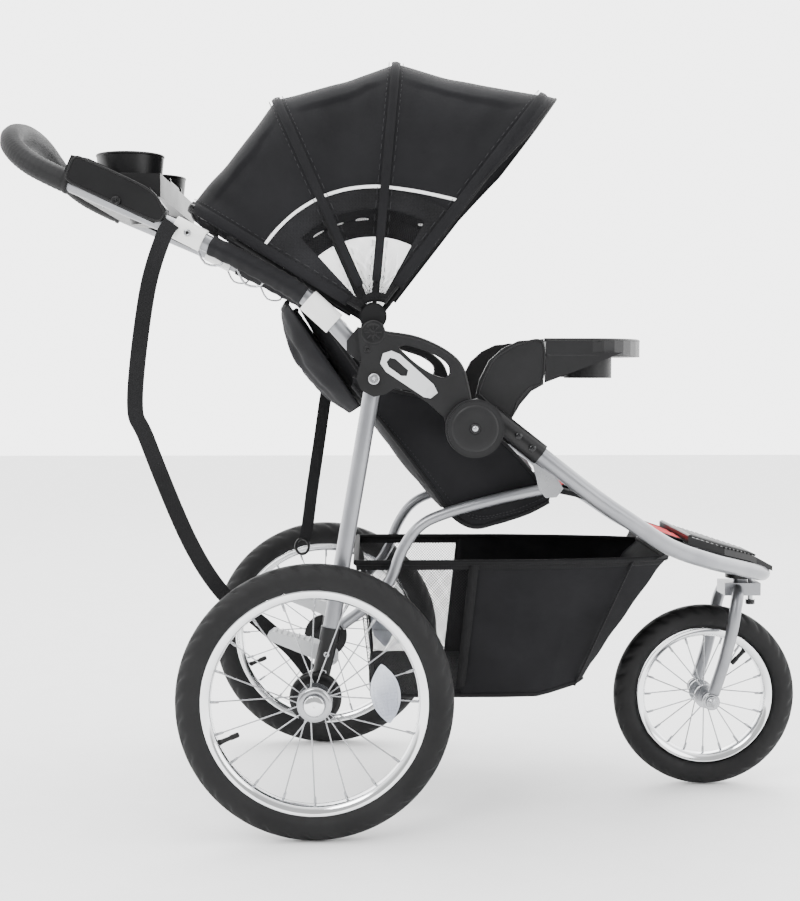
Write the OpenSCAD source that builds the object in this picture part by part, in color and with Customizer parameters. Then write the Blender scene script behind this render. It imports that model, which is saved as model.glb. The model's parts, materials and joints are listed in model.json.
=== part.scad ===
// Three-wheel jogging stroller. Front is +X, left is +Y, the floor is Z = 0.

/* [Wheels] */
// Radius of the rear tyres
rear_r = 200; // [180:1:210]
// Radius of the front tyre
front_r = 147; // [135:1:152]
// Distance from the centre plane to a rear wheel's middle
track_half = 280; // [278:1:300]
// Number of spokes in each wheel
spoke_count = 20; // [12:2:28]

/* [Frame] */
// Outer diameter of the front and handle tubes
tube_d = 25; // [22:0.5:25]
// Diameter of the rear legs
leg_d = 24; // [20:0.5:24]
// Diameter of the bent seat tubes
seat_tube_d = 16; // [14:0.5:16]
// Distance from the centre plane to the frame's side tubes
side_y = 225; // [222:0.5:226]
// Radius of the round fold-joint covers
disc_r = 42; // [36:1:42]

/* [Seat] */
// Half width of the padded back
back_half = 166; // [150:1:168]
// Length of the padded back
back_len = 430; // [380:5:440]
// Thickness of the padded back
back_thick = 42; // [30:1:44]

/* [Trays] */
// Radius of the cup wells in the parent tray
parent_cup_r = 40; // [34:1:42]
// Radius of the cup wells in the child tray
child_cup_r = 33; // [28:1:34]

/* [Hidden] */

sides = [-1, 1];
run = 0.05;           // radial clearance of a running fit
tube_r = tube_d / 2;
fold_p = [79, 0, 591];         // fold pivot in the discs
leg_p = [-65, 0, 661.5];       // pivot of the legs in the side brackets
ear_p = [194, 0, 499];         // pivot of the seat tubes in the ear plates
hub_p = [-66, 0, 752];         // canopy hub
back_p = [50, 0, 452];         // recline hinge of the back
lid_p = [-384, 0, 966];        // hinge of the parent tray lid
pedal_p = [-128, 0, 250];      // pivot of the brake pedals
rear_c = [-150, 0, rear_r];    // rear axle
front_c = [472, 0, front_r];   // front axle
steer_x = 530;                 // steering axis
leg_y = 234;                   // side distance of the legs
seat_tube_y = 186;             // side distance of the seat tubes
plate_y = 248;                 // inner face of the side brackets
plate_t = 13;                  // thickness of the side brackets
disc_y = 262;                  // inner face of the disc covers
bow_y = 226;                   // side distance of the bows at the hubs
arm_y = 196;                   // inner face of the tray arms
arm_t = 11;                    // thickness of the tray arms
lock_x = 17;                   // distance of the lock pin from the steering axis
recline = 55;                  // back angle above the floor

// ---- helpers ----
function mix(a, b, t) = a + (b - a) * t;
function catmull(a, b, c, d, t) = 0.5 * ((2 * b) + (c - a) * t
    + (2 * a - 5 * b + 4 * c - d) * t * t + (3 * b - a - 3 * c + d) * t * t * t);
function at(p, i) = p[max(0, min(len(p) - 1, i))];
function smooth(p, k = 4) = concat([for (i = [0 : len(p) - 2]) for (j = [0 : k - 1])
    catmull(at(p, i - 1), p[i], p[i + 1], at(p, i + 2), j / k)], [p[len(p) - 1]]);
function unit(v) = v / norm(v);
function rail(p) = concat(p, [for (i = [len(p) - 2 : -1 : 0]) [p[i][0], -p[i][1], p[i][2]]]);

// A tube of radius r (r by w when flattened) along the points p, where up is a direction
// that the path never runs along
module sweep(p, r, n = 16, w = 0, up = [0, 1, 0]) {
    m = len(p);
    ww = w == 0 ? r : w;
    tan = [for (i = [0 : m - 1]) unit(at(p, i + 1) - at(p, i - 1))];
    pts = [for (i = [0 : m - 1]) let (u = unit(cross(tan[i], up)), v = cross(tan[i], u))
        for (k = [0 : n - 1]) p[i] + r * cos(360 * k / n) * u + ww * sin(360 * k / n) * v];
    walls = [for (i = [0 : m - 2]) for (k = [0 : n - 1])
        [i * n + k, (i + 1) * n + k, (i + 1) * n + (k + 1) % n, i * n + (k + 1) % n]];
    polyhedron(pts, concat([[for (k = [0 : n - 1]) k]], walls,
        [[for (k = [n - 1 : -1 : 0]) (m - 1) * n + k]]), convexity = 8);
}

// A straight rod between two points
module rod(a, b, r) {
    d = b - a;
    translate(a) rotate([0, acos(d[2] / norm(d)), atan2(d[1], d[0])]) cylinder(r = r, h = norm(d), $fn = 32);
}

// A cylinder along Y from y0 to y1 at the XZ place of p
module pin_y(p, y0, y1, r, fn = 48) {
    translate([p[0], min(y0, y1), p[2]]) rotate([-90, 0, 0]) cylinder(r = r, h = abs(y1 - y0), $fn = fn);
}

// An outline in X and Z, as a slab between two Y planes
module slab(pts, y0, y1) {
    translate([0, max(y0, y1), 0]) rotate([90, 0, 0]) linear_extrude(abs(y1 - y0)) polygon(pts);
}

module both() {
    children();
    mirror([0, 1, 0]) children();
}

// ---- front frame ----
front_path = [[150, side_y, 573], [251, 224, 494], [312, 215, 452], [376, 192, 411], [446, 150, 384],
    [510, 84, 364], [553, 34, 350], [564, 0, 347]];
socket_a = [104, side_y, 609];
socket_b = [178, side_y, 551];

module front_tube() {
    color("silver") sweep(rail(smooth(front_path, 3)), tube_r, 14, 0, [0.6, 0, 0.8]);
}

module tube_sockets() {
    color("dimgray") both() {
        difference() {
            union() {
                rod(socket_a, socket_b, tube_r + 3.5);
                pin_y(fold_p, 213, 240, 30);
            }
            pin_y(fold_p, 190, 300, 8 + run);
        }
    }
}

module fold_discs() {
    color("dimgray") both() {
        pin_y(fold_p, disc_y + 0.6, disc_y + 11, disc_r, 96);
        pin_y(fold_p, disc_y + 11, disc_y + 13, disc_r - 3, 96);
    }
}

module fold_pins() {
    color("silver") both() {
        pin_y(fold_p, 206, disc_y + 6, 8);
        pin_y(fold_p, disc_y + 6, disc_y + 16, 4.5);
    }
}

ear_shape = [[168, 540], [204, 516], [214, 500], [204, 487], [188, 486], [178, 498]];
module ear_plates() {
    color("gainsboro") both() slab(ear_shape, 204, 209);
    color("gainsboro") both() pin_y(ear_p, 176, 204, 4);
}

module frame_rivets() {
    color("black") both() for (p = [[144, 0, 579], [164, 0, 561]]) pin_y(p, 205, 244, 4);
}

arm_outer = [[84, 634], [90, 660], [104, 688], [124, 706], [147, 717], [184, 720]];
arm_inner = [[184, 653], [166, 643], [150, 624], [136, 600], [124, 570], [86, 560]];
module tray_arms() {
    color("dimgray") both() difference() {
        slab(concat(arm_outer, arm_inner), arm_y, arm_y + arm_t);
        pin_y(fold_p, 100, 300, 8 + run);
    }
    color("dimgray") both() {
        pin_y([100, 0, 600], arm_y + arm_t, 213, 12);
        slab([[180, 673], [232, 673], [232, 691], [180, 691]], arm_y + 1.5, arm_y + 8.5);
    }
}

foot_side = [[420, 418], [470, 402], [530, 384], [575, 360], [575, 352], [530, 372], [470, 390], [420, 404]];
module footrest() {
    color("black") difference() {
        slab(foot_side, -150, 150);
        for (s = sides) translate([0, 0, 300]) linear_extrude(200)
            polygon([[400, s * 118], [480, s * 100], [545, s * 45], [590, s * 20], [590, s * 160], [400, s * 160]]);
    }
}

module steering_head() {
    color("black") difference() {
        union() {
            translate([steer_x, 0, 338]) cylinder(r = 24, h = 22, $fn = 64);
            translate([steer_x, -20, 342]) cube([30, 40, 8]);
        }
        translate([steer_x, 0, 330]) cylinder(r = 11 + run, h = 30, $fn = 64);
        for (s = sides) translate([steer_x + s * lock_x, 0, 330]) cylinder(r = 4 + run, h = 20, $fn = 32);
    }
}

// ---- soft goods on the front frame ----
pan_side = [[62, 470], [92, 440], [130, 446], [196, 470], [200, 486], [180, 505], [110, 490]];
wing = [[62, 470], [92, 440], [130, 446], [196, 470], [200, 486], [160, 552], [95, 604],
    [30, 634], [-40, 644]];
module seat_pan() {
    color("darkslategray") {
        slab(pan_side, -170.5, 170.5);
        both() slab(wing, 170.5, 174);
    }
}

calf_side = [[186, 505], [258, 485], [330, 440], [420, 404], [420, 396], [330, 430], [255, 473], [200, 488]];
module calf_panel() {
    color("firebrick") difference() {
        slab(calf_side, -170, 170);
        for (s = sides) translate([0, 0, 350]) linear_extrude(200)
            polygon([[300, s * 172], [340, s * 160], [430, s * 110], [430, s * 180], [300, s * 180]]);
    }
}

bag_out = [[-92, 388], [392, 388], [262, 202], [225, 188], [-70, 180], [-92, 196]];
bag_in = [[-89, 400], [400, 400], [259, 205], [223, 191], [-68, 183], [-89, 198]];
module bag_plan(half, front) {
    translate([0, 0, 100]) linear_extrude(400)
        polygon([[-120, -half], [210, -half], [420, -front], [420, front], [210, half], [-120, half]]);
}
module basket() {
    color("black") difference() {
        intersection() {
            slab(bag_out, -176, 176);
            bag_plan(174, 130);
        }
        intersection() {
            slab(bag_in, -172, 172);
            bag_plan(171, 127);
        }
    }
}

module harness() {
    color("black") for (s = sides) slab([[112, 490.7], [150, 498.9], [150, 501.7], [112, 493.5]], s * 50, s * 74);
}

// ---- child tray ----
module child_tray() {
    color("dimgray") difference() {
        union() {
            difference() {
                translate([0, 0, 694]) linear_extrude(24) polygon(concat([[187, -207], [187, 207]],
                    [for (a = [90 : -10 : -90]) [256 + 100 * cos(a), 207 * sin(a)]]));
                translate([0, 0, 704]) linear_extrude(30) polygon(concat([[195, -196], [195, 196]],
                    [for (a = [90 : -10 : -90]) [254 + 92 * cos(a), 196 * sin(a)]]));
            }
            for (s = sides) {
                translate([262, s * 118, 662]) cylinder(r = child_cup_r + 3, h = 50, $fn = 72);
                slab([[187, 656], [187, 700], [300, 700], [240, 676]], s * (arm_y - 4), s * (arm_y + arm_t));
            }
        }
        for (s = sides) {
            translate([262, s * 118, 666]) cylinder(r = child_cup_r, h = 60, $fn = 72);
            slab([[180, 672], [235, 672], [235, 692], [180, 692]], s * (arm_y + 1), s * (arm_y + 9));
        }
    }
}

// ---- handle frame ----
handle_path = [[-86, side_y, 700], [-143, side_y, 762], [-200, side_y, 803], [-329, side_y, 868],
    [-432, 223, 913], [-500, 220, 942], [-556, 210, 970], [-588, 188, 996], [-600, 150, 1018],
    [-603, 80, 1033], [-603, 0, 1037]];
module handle_bar() {
    color("silver") sweep(rail(smooth(handle_path, 3)), tube_r, 14, 0, [0.5, 0, 0.9]);
}

grip_path = [[-500, 220, 942], [-556, 210, 970], [-588, 188, 996], [-600, 150, 1018],
    [-603, 80, 1033], [-603, 0, 1037]];
module grip() {
    color("black") sweep(rail(smooth(grip_path, 3)), 16.8, 16, 0, [0.5, 0, 0.9]);
}

cup_top = 993;
module parent_tray() {
    color("black") difference() {
        union() {
            for (s = sides) {
                translate([-429, s * 130, 915]) cylinder(r1 = 42, r2 = 50, h = cup_top - 915, $fn = 96);
                slab([[-505, 958], [-495, 980], [-470, 975], [-385, 935], [-362, 905], [-362, 890],
                    [-380, 884], [-440, 912], [-500, 940]], s * 205, s * 243);
            }
            translate([-492, -206, 925]) cube([118, 412, 34]);
            for (s = sides) {
                pin_y(lid_p, s * 62, s * 69, 6.5);
                translate([lid_p[0] - 6.5, s * 65.5 - 3.5, 955]) cube([13, 7, 11]);
            }
        }
        pin_y(lid_p, -80, 80, 4 + run);
        for (s = sides) translate([-429, s * 130, 921]) cylinder(r = parent_cup_r, h = 90, $fn = 96);
        translate([-474, -72, 935]) cube([76, 144, 40]);
    }
    color("gray") both() pin_y([-432, 0, 915], 238, 246, 6);
}

module tray_lid() {
    color("black") difference() {
        union() {
            translate([-481, -60, 960]) cube([97, 120, 4]);
            translate([-481, -74, 960]) cube([84, 148, 4]);
            pin_y(lid_p, -68, 68, 4);
        }
        translate([-478, -12, 962]) cube([8, 24, 5]);
    }
}

module tube_collars() {
    color("white") both() difference() {
        rod([-352, side_y, 880.5], [-310, side_y, 859.5], tube_r + 4);
        rod([-360, side_y, 884], [-300, side_y, 854], tube_r - 1);
    }
    color("gray") both() pin_y([-331, 0, 870], 238, 245, 6);
}

plate_out = [[-89, 736], [-48, 729], [-10, 723], [20, 712], [45, 697], [60, 681], [68, 655], [72, 630],
    [84, 634], [110, 622], [118, 600], [112, 570], [90, 552], [60, 556], [42, 575], [36, 606],
    [14, 626], [-14, 645], [-36, 648], [-48, 640], [-65, 636], [-83, 645], [-90, 662], [-83, 690]];
loop_hole = [[-32, 706], [-20, 711], [0, 706], [24, 697], [42, 683], [44, 668], [34, 662], [16, 668], [-8, 684]];
module side_brackets() {
    color("dimgray") both() difference() {
        union() {
            slab(plate_out, plate_y, plate_y + plate_t);
            slab([[-104, 716], [-88, 736], [-66, 720], [-66, 694], [-86, 686], [-104, 700]], 210, 249);
            pin_y([hub_p[0], 0, 728], 240, 261, 14);
            slab([[-80, 716], [-80, 742], [-52, 742], [-52, 716]], 240, 250);
        }
        slab(loop_hole, 230, 280);
        pin_y(fold_p, 230, 280, 8 + run);
        pin_y(leg_p, 230, 300, 5 + run);
    }
}

latch_shape = [[-56, 684], [-52, 698], [-40, 702], [-28, 697], [20, 654], [26, 642], [16, 634], [6, 636], [-48, 672]];
latch_slot = [[-47, 686], [-42, 692], [-34, 690], [-16, 674], [-18, 666], [-26, 666], [-44, 679]];
module latch(s) {
    color("gainsboro") difference() {
        slab(latch_shape, s * 261.3, s * 264.3);
        slab(latch_slot, s * 260, s * 266);
    }
    color("gainsboro") pin_y([16, 0, 643], s * 264.3, s * 266.5, 5);
}
module latch_left() { latch(1); }
module latch_right() { latch(-1); }

module leg_pins() {
    color("black") both() {
        pin_y(leg_p, 216, 261.2, 5);
        pin_y(leg_p, 261.2, 265, 7);
    }
}

module tube_bushes() {
    color("white") both() difference() {
        rod([-160, side_y, 775.5], [-122, side_y, 741], tube_r + 5);
        rod([-170, side_y, 784.5], [-112, side_y, 732], tube_r - 1);
    }
}

module wire_hooks() {
    color("silver") both() for (q = [[-320, 850], [-262, 820]])
        sweep(smooth([[q[0], side_y, q[1]], [q[0] + 12, side_y, q[1] - 22], [q[0] + 34, side_y, q[1] - 24],
            [q[0] + 42, side_y, q[1] - 8]], 3), 1.6, 8);
}

// ---- canopy ----
bow_angle = [148.6, 114, 84.7, 52.2];
bow_len = [321, 358, 383, 421];
function bow_pt(i, f, y) = [hub_p[0] + f * bow_len[i] * cos(bow_angle[i]), y,
    hub_p[2] + f * bow_len[i] * sin(bow_angle[i])];
function bow_path(i) = let (y = bow_y - 3 * i) rail(smooth([bow_pt(i, 0.06, y), bow_pt(i, 0.4, y - 1),
    bow_pt(i, 0.72, y - 6), bow_pt(i, 0.92, y - 22), bow_pt(i, 0.985, y - 60), bow_pt(i, 1, y - 120),
    bow_pt(i, 1, 0)], 3));
module bow(i) {
    color("black") sweep(bow_path(i), 1.3, 10, 4, [-sin(bow_angle[i]), 0, cos(bow_angle[i])]);
}

module canopy_hubs() {
    color("dimgray") both() {
        pin_y(hub_p, 229.6, 240, 17, 64);
        pin_y(hub_p, 208, 229.6, 4.5);
    }
}
module eye(i) {
    y = bow_y - 3 * i;
    both() difference() {
        pin_y(hub_p, y - 1.3, y + 1.3, 20 - 2 * i, 48);
        pin_y(hub_p, y - 5, y + 5, 4.5 + run);
    }
}
module rear_bow() { bow(0); color("black") eye(0); }
module second_bow() { bow(1); color("black") eye(1); }
module third_bow() { bow(2); color("black") eye(2); }
module front_bow() { bow(3); color("black") eye(3); }

// Curved roof and side skin between two bows, as one thin closed shell
function skin_ring(i, j, t, grow) = let (a = mix(bow_angle[i], bow_angle[j], t),
    l = mix(bow_len[i], bow_len[j], t) + grow, y = bow_y + 3 + grow - 3 * mix(i, j, t))
    [for (q = [[0.34, 0], [0.6, 2], [0.8, 8], [0.93, 22], [0.985, 56], [1, 110]])
        [hub_p[0] + q[0] * l * cos(a), y - q[1], hub_p[2] + q[0] * l * sin(a)]];
function arch(half) = concat(half, [for (k = [len(half) - 1 : -1 : 0]) [half[k][0], -half[k][1], half[k][2]]]);
module skin(i, j) {
    steps = 4;
    o = [for (k = [0 : steps]) arch(skin_ring(i, j, mix(0.07, 0.93, k / steps), 6))];
    n = [for (k = [0 : steps]) arch(skin_ring(i, j, mix(0.07, 0.93, k / steps), 3))];
    c = len(o[0]);
    all = concat([for (r = o) each r], [for (r = n) each r]);
    h = (steps + 1) * c;
    polyhedron(all, concat(
        [for (k = [0 : steps - 1]) for (m = [0 : c - 2]) [k * c + m, k * c + m + 1, (k + 1) * c + m + 1, (k + 1) * c + m]],
        [for (k = [0 : steps - 1]) for (m = [0 : c - 2])
            [h + k * c + m, h + (k + 1) * c + m, h + (k + 1) * c + m + 1, h + k * c + m + 1]],
        [for (k = [0 : steps - 1]) [k * c, (k + 1) * c, h + (k + 1) * c, h + k * c]],
        [for (k = [0 : steps - 1]) [k * c + c - 1, h + k * c + c - 1, h + (k + 1) * c + c - 1, (k + 1) * c + c - 1]],
        [for (m = [0 : c - 2]) [m, h + m, h + m + 1, m + 1]],
        [for (m = [0 : c - 2]) [steps * c + m, steps * c + m + 1, h + steps * c + m + 1, h + steps * c + m]]),
        convexity = 8);
}
module canopy_rear_panel() { color("darkslategray") skin(0, 1); }
module canopy_mid_panel() { color("darkslategray") skin(1, 2); }
module canopy_front_panel() { color("darkslategray") skin(2, 3); }

// ---- reclining back ----
module seat_back() {
    color("darkslategray") {
        translate([back_p[0], 0, back_p[2]]) rotate([0, recline - 180, 0]) mirror([0, 0, 1])
            translate([22, -back_half, -6]) cube([back_len - 22, back_half * 2, back_thick]);
        pin_y(back_p, -150, 150, 7);
    }
}

strap_path = [[-126, 690], [-140, 640], [-152, 560], [-164, 480], [-172, 420], [-177, 392]];
module recline_strap() {
    color("black") sweep([for (p = strap_path) [p[0], 0, p[1]]], 1, 8, 9, [0, 1, 0]);
}

// ---- rear frame ----
module rear_legs() {
    color("silver") both() difference() {
        rod([-63.4, leg_y, 670], [-131, leg_y, 280], leg_d / 2);
        pin_y(leg_p, 200, 260, 5 + run);
    }
}
module leg_boots() {
    color("black") both() difference() {
        rod([-127.5, leg_y, 300], [-131, leg_y, 280], leg_d / 2 + 2.5);
        rod([-126, leg_y, 309], [-134, leg_y, 263], leg_d / 2 - 0.5);
    }
    color("black") both() difference() {
        union() {
            rod([-131, leg_y, 280], [-147, leg_y, 212], leg_d / 2 + 1);
            pin_y(rear_c, 224, 244, 18);
        }
        pin_y(rear_c, 200, 300, 8 + run);
    }
    color("silver") both() pin_y(pedal_p, 174, 228, 4);
}
module rear_axle() {
    color("silver") {
        pin_y(rear_c, -245, 245, 8);
        both() pin_y(rear_c, 245, 300, 6);
    }
}
module drum_housings() {
    color("black") both() difference() {
        pin_y(rear_c, 245.2, 254, 38, 96);
        pin_y(rear_c, 240, 260, 6 + run);
    }
}

module pedal(s) {
    color("lightgray") difference() {
        union() {
            slab([[-118, 246], [-126, 262], [-150, 272], [-214, 290], [-222, 284], [-218, 276], [-160, 252],
                [-134, 240]], s * 176, s * 214);
            pin_y(pedal_p, s * 176, s * 214, 10);
        }
        pin_y(pedal_p, s * 150, s * 260, 4 + run);
    }
}
module pedal_left() { pedal(1); }
module pedal_right() { pedal(-1); }

tether = [[-352, 244.5, 884], [-366, 244.5, 862], [-390, 244, 780], [-408, 243, 630], [-392, 240, 575],
    [-335, 230, 430], [-288, 212, 348], [-245, 178, 306], [-222, 168, 284], [-190, 160, 254], [-163, 150, 218]];
module tether_strap() {
    color("black") mirror([0, 1, 0]) sweep(smooth(tether, 3), 11, 8, 1, [0, 1, 0]);
}

seat_tube_path = [[190, seat_tube_y, 498], [120, seat_tube_y, 483], [41, seat_tube_y, 461], [3, seat_tube_y, 442],
    [-22, seat_tube_y, 408], [-41, seat_tube_y, 362], [-66, seat_tube_y, 330], [-114, seat_tube_y, 294]];
module seat_tubes() {
    color("silver") both() difference() {
        union() {
            sweep(smooth(seat_tube_path, 4), seat_tube_d / 2, 14);
            pin_y(ear_p, seat_tube_y - 8, seat_tube_y + 8, 11);
        }
        pin_y(ear_p, 150, 230, 4 + run);
    }
}

// ---- wheels ----
module tyre(c, r, y, half, depth) {
    n = 24;
    g = 1 / cos(180 / n);
    color("black") translate([c[0], y, c[2]]) rotate([90, 0, 0]) rotate_extrude($fn = 128)
        polygon([for (k = [0 : n - 1]) let (a = (k + 0.5) * 360 / n)
            [r - depth + depth * g * cos(a), half * sin(a)]]);
}
module rim(c, r_in, r_out, y) {
    color("silver") translate([c[0], y, c[2]]) rotate([90, 0, 0]) rotate_extrude($fn = 128)
        polygon([[r_in, -10], [r_in + 5, -14], [r_out, -14], [r_out - 4, -9], [r_out - 4, 9], [r_out, 14],
            [r_in + 5, 14], [r_in, 10]]);
}
module spokes(c, y, hub_r, rim_r, half) {
    color("silver") for (k = [0 : spoke_count - 1]) let (a = k * 360 / spoke_count, s = k % 2 == 0 ? 1 : -1,
        lean = (floor(k / 2) % 2 == 0 ? 1 : -1) * 14)
        rod([c[0] + hub_r * cos(a + lean), y + s * half, c[2] + hub_r * sin(a + lean)],
            [c[0] + rim_r * cos(a), y + s * 2, c[2] + rim_r * sin(a)], 1);
}
module rear_tyre(s) { tyre(rear_c, rear_r, s * track_half, 22, 20); }
module rear_rim(s) {
    rim(rear_c, rear_r - 52, rear_r - 36, s * track_half);
    color("black") translate([rear_c[0], s * track_half, rear_c[2]]) rotate([0, -203, 0])
        translate([rear_r - 76, 0, 0]) rotate([0, 90, 0]) cylinder(r = 3, h = 26, $fn = 24);
}
module rear_spokes(s) { spokes(rear_c, s * track_half, 21, rear_r - 50, 16); }
module rear_hub(s) {
    color("silver") difference() {
        union() {
            pin_y(rear_c, s * 256, s * 304, 12);
            for (d = [-16, 16]) pin_y(rear_c, s * (track_half + d - 2), s * (track_half + d + 2), 25, 72);
            pin_y(rear_c, s * 300, s * 306, 15, 64);
        }
        pin_y(rear_c, s * 250, s * 302, 6 + run);
    }
}
module reflector(s) {
    color("white") translate([rear_c[0], s * (track_half + 7), rear_c[2]]) rotate([0, -8, 0])
        translate([102, 0, 0]) rotate([90, 0, 0]) intersection() {
            translate([-36, 0, -2]) cylinder(r = 56, h = 4, $fn = 96);
            translate([36, 0, -2]) cylinder(r = 56, h = 4, $fn = 96);
        }
}
module tyre_left() { rear_tyre(1); }
module tyre_right() { rear_tyre(-1); }
module rim_left() { rear_rim(1); }
module rim_right() { rear_rim(-1); }
module spokes_left() { rear_spokes(1); }
module spokes_right() { rear_spokes(-1); }
module hub_left() { rear_hub(1); }
module hub_right() { rear_hub(-1); }
module reflector_left() { reflector(1); }
module reflector_right() { reflector(-1); }

module tyre_front() { tyre(front_c, front_r, 0, 20, 18.5); }
module rim_front() { rim(front_c, front_r - 51, front_r - 37, 0); }
module spokes_front() { spokes(front_c, 0, 15, front_r - 49, 20); }
module hub_front() {
    color("silver") difference() {
        union() {
            pin_y(front_c, -36, 36, 10);
            for (d = [-20, 20]) pin_y(front_c, d - 2, d + 2, 19, 64);
        }
        pin_y(front_c, -50, 50, 5 + run);
    }
}

blade_path = [[520, 22, 322], [514, 50, 314], [508, 60, 292], [503, 62, 262], [490, 61, 208], [475, 59, 160]];
module fork() {
    color("silver") {
        both() sweep(smooth(blade_path, 4), 9, 14);
        translate([steer_x, 0, 318]) cylinder(r = 11, h = 38, $fn = 64);
    }
    color("black") difference() {
        translate([499, -27, 312]) cube([58, 54, 20]);
        translate([steer_x + lock_x, 0, 300]) cylinder(r = 4 + run, h = 50, $fn = 32);
    }
    color("silver") both() difference() {
        pin_y(front_c, 52, 59, 13);
        pin_y(front_c, 40, 70, 5 + run);
    }
}
module front_axle() {
    color("silver") {
        pin_y(front_c, -66, 66, 5);
        both() pin_y(front_c, 60, 66, 9);
    }
}
module lock_pin() {
    color("gray") {
        translate([steer_x + lock_x, 0, 302]) cylinder(r = 4, h = 34, $fn = 32);
        translate([steer_x + lock_x, 0, 294]) cylinder(r = 7, h = 8, $fn = 32);
    }
}

front_tube();
tube_sockets();
fold_discs();
fold_pins();
ear_plates();
frame_rivets();
tray_arms();
footrest();
steering_head();
seat_pan();
calf_panel();
basket();
harness();
child_tray();
handle_bar();
grip();
parent_tray();
tray_lid();
tube_collars();
side_brackets();
latch_left();
latch_right();
leg_pins();
tube_bushes();
wire_hooks();
canopy_hubs();
rear_bow();
second_bow();
third_bow();
front_bow();
canopy_rear_panel();
canopy_mid_panel();
canopy_front_panel();
seat_back();
recline_strap();
rear_legs();
leg_boots();
rear_axle();
drum_housings();
pedal_left();
pedal_right();
tether_strap();
seat_tubes();
tyre_left();
rim_left();
spokes_left();
hub_left();
reflector_left();
tyre_right();
rim_right();
spokes_right();
hub_right();
reflector_right();
tyre_front();
rim_front();
spokes_front();
hub_front();
fork();
front_axle();
lock_pin();
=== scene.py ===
"""Jogging stroller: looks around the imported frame. Metres, +X front, +Y left, +Z up."""
import json
import math

import bmesh
import bpy
from mathutils import Euler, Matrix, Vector, noise
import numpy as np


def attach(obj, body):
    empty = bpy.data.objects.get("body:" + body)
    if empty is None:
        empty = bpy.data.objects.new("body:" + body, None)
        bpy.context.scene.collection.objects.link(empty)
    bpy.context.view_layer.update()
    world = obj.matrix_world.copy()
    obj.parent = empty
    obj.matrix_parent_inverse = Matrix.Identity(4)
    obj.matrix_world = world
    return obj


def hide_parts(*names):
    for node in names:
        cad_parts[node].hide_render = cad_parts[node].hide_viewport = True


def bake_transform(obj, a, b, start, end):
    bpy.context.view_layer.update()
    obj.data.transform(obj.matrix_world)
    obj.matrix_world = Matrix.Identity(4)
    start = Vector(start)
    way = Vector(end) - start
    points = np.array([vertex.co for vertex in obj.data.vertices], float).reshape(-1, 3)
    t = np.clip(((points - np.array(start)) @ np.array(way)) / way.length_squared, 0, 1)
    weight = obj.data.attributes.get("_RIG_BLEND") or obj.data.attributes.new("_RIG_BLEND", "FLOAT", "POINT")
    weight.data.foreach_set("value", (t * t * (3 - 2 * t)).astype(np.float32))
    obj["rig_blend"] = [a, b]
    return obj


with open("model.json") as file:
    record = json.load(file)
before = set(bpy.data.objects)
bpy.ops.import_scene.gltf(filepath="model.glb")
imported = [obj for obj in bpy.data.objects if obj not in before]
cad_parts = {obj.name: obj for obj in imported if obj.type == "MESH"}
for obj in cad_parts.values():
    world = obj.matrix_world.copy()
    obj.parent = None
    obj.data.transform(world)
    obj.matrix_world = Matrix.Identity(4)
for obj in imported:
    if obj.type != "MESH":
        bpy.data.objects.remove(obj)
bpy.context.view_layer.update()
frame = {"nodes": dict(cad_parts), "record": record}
MM = 0.001

# ---------------------------------------------------------------- camera, light, floor
cam = bpy.data.objects.new("camera", bpy.data.cameras.new("camera"))
bpy.context.scene.collection.objects.link(cam)
bpy.context.scene.camera = cam
cam.data.lens = 58.87
cam.data.sensor_width = 36
cam.location = (-0.0709, -2.3665, 0.6783)
PITCH, YAW = 0.0564, 0.0205
cam.rotation_euler = Euler((math.pi / 2 - PITCH, 0, -YAW))


def area_light(name, place, target, size, watts):
    data = bpy.data.lights.new(name, "AREA")
    data.shape, data.size, data.energy = "DISK", size, watts
    lamp = bpy.data.objects.new(name, data)
    lamp.location = place
    lamp.rotation_euler = (Vector(target) - Vector(place)).to_track_quat("-Z", "Y").to_euler()
    bpy.context.scene.collection.objects.link(lamp)


area_light("key", (-1.6, -3.0, 3.0), (0, 0, 0.6), 1.8, 95)
area_light("fill", (2.6, -2.6, 1.6), (0, 0, 0.5), 2.2, 50)
area_light("rim", (0.6, 3.2, 2.6), (0, 0, 0.7), 2.4, 35)
area_light("top", (0, 0, 3.6), (0, 0, 0.5), 2.0, 25)

world = bpy.data.worlds.new("studio")
bpy.context.scene.world = world
world.use_nodes = True
world.node_tree.nodes["Background"].inputs["Color"].default_value = (1, 1, 1, 1)
# The sky is bright behind the object and dimmer on the camera's side, so that bright metal shows both.
sky = world.node_tree
sky_dir, sky_split = sky.nodes.new("ShaderNodeTexCoord"), sky.nodes.new("ShaderNodeSeparateXYZ")
sky_range = sky.nodes.new("ShaderNodeMapRange")
for socket, value in (("From Min", -0.75), ("From Max", 0.2), ("To Min", 0.75), ("To Max", 4.6)):
    sky_range.inputs[socket].default_value = value
sky.links.new(sky_dir.outputs["Generated"], sky_split.inputs["Vector"])
sky.links.new(sky_split.outputs["Y"], sky_range.inputs["Value"])
sky.links.new(sky_range.outputs["Result"], sky.nodes["Background"].inputs["Strength"])


# ---------------------------------------------------------------- materials
def new_material(name, color, rough, metallic=0.0):
    m = bpy.data.materials.new(name)
    m.use_nodes = True
    b = m.node_tree.nodes["Principled BSDF"]
    b.inputs["Base Color"].default_value = (*color, 1)
    b.inputs["Roughness"].default_value = rough
    b.inputs["Metallic"].default_value = metallic
    return m, m.node_tree, b


def add(tree, kind, **sockets):
    n = tree.nodes.new(kind)
    for key, value in sockets.items():
        n.inputs[key.replace("_", " ")].default_value = value
    return n


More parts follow.
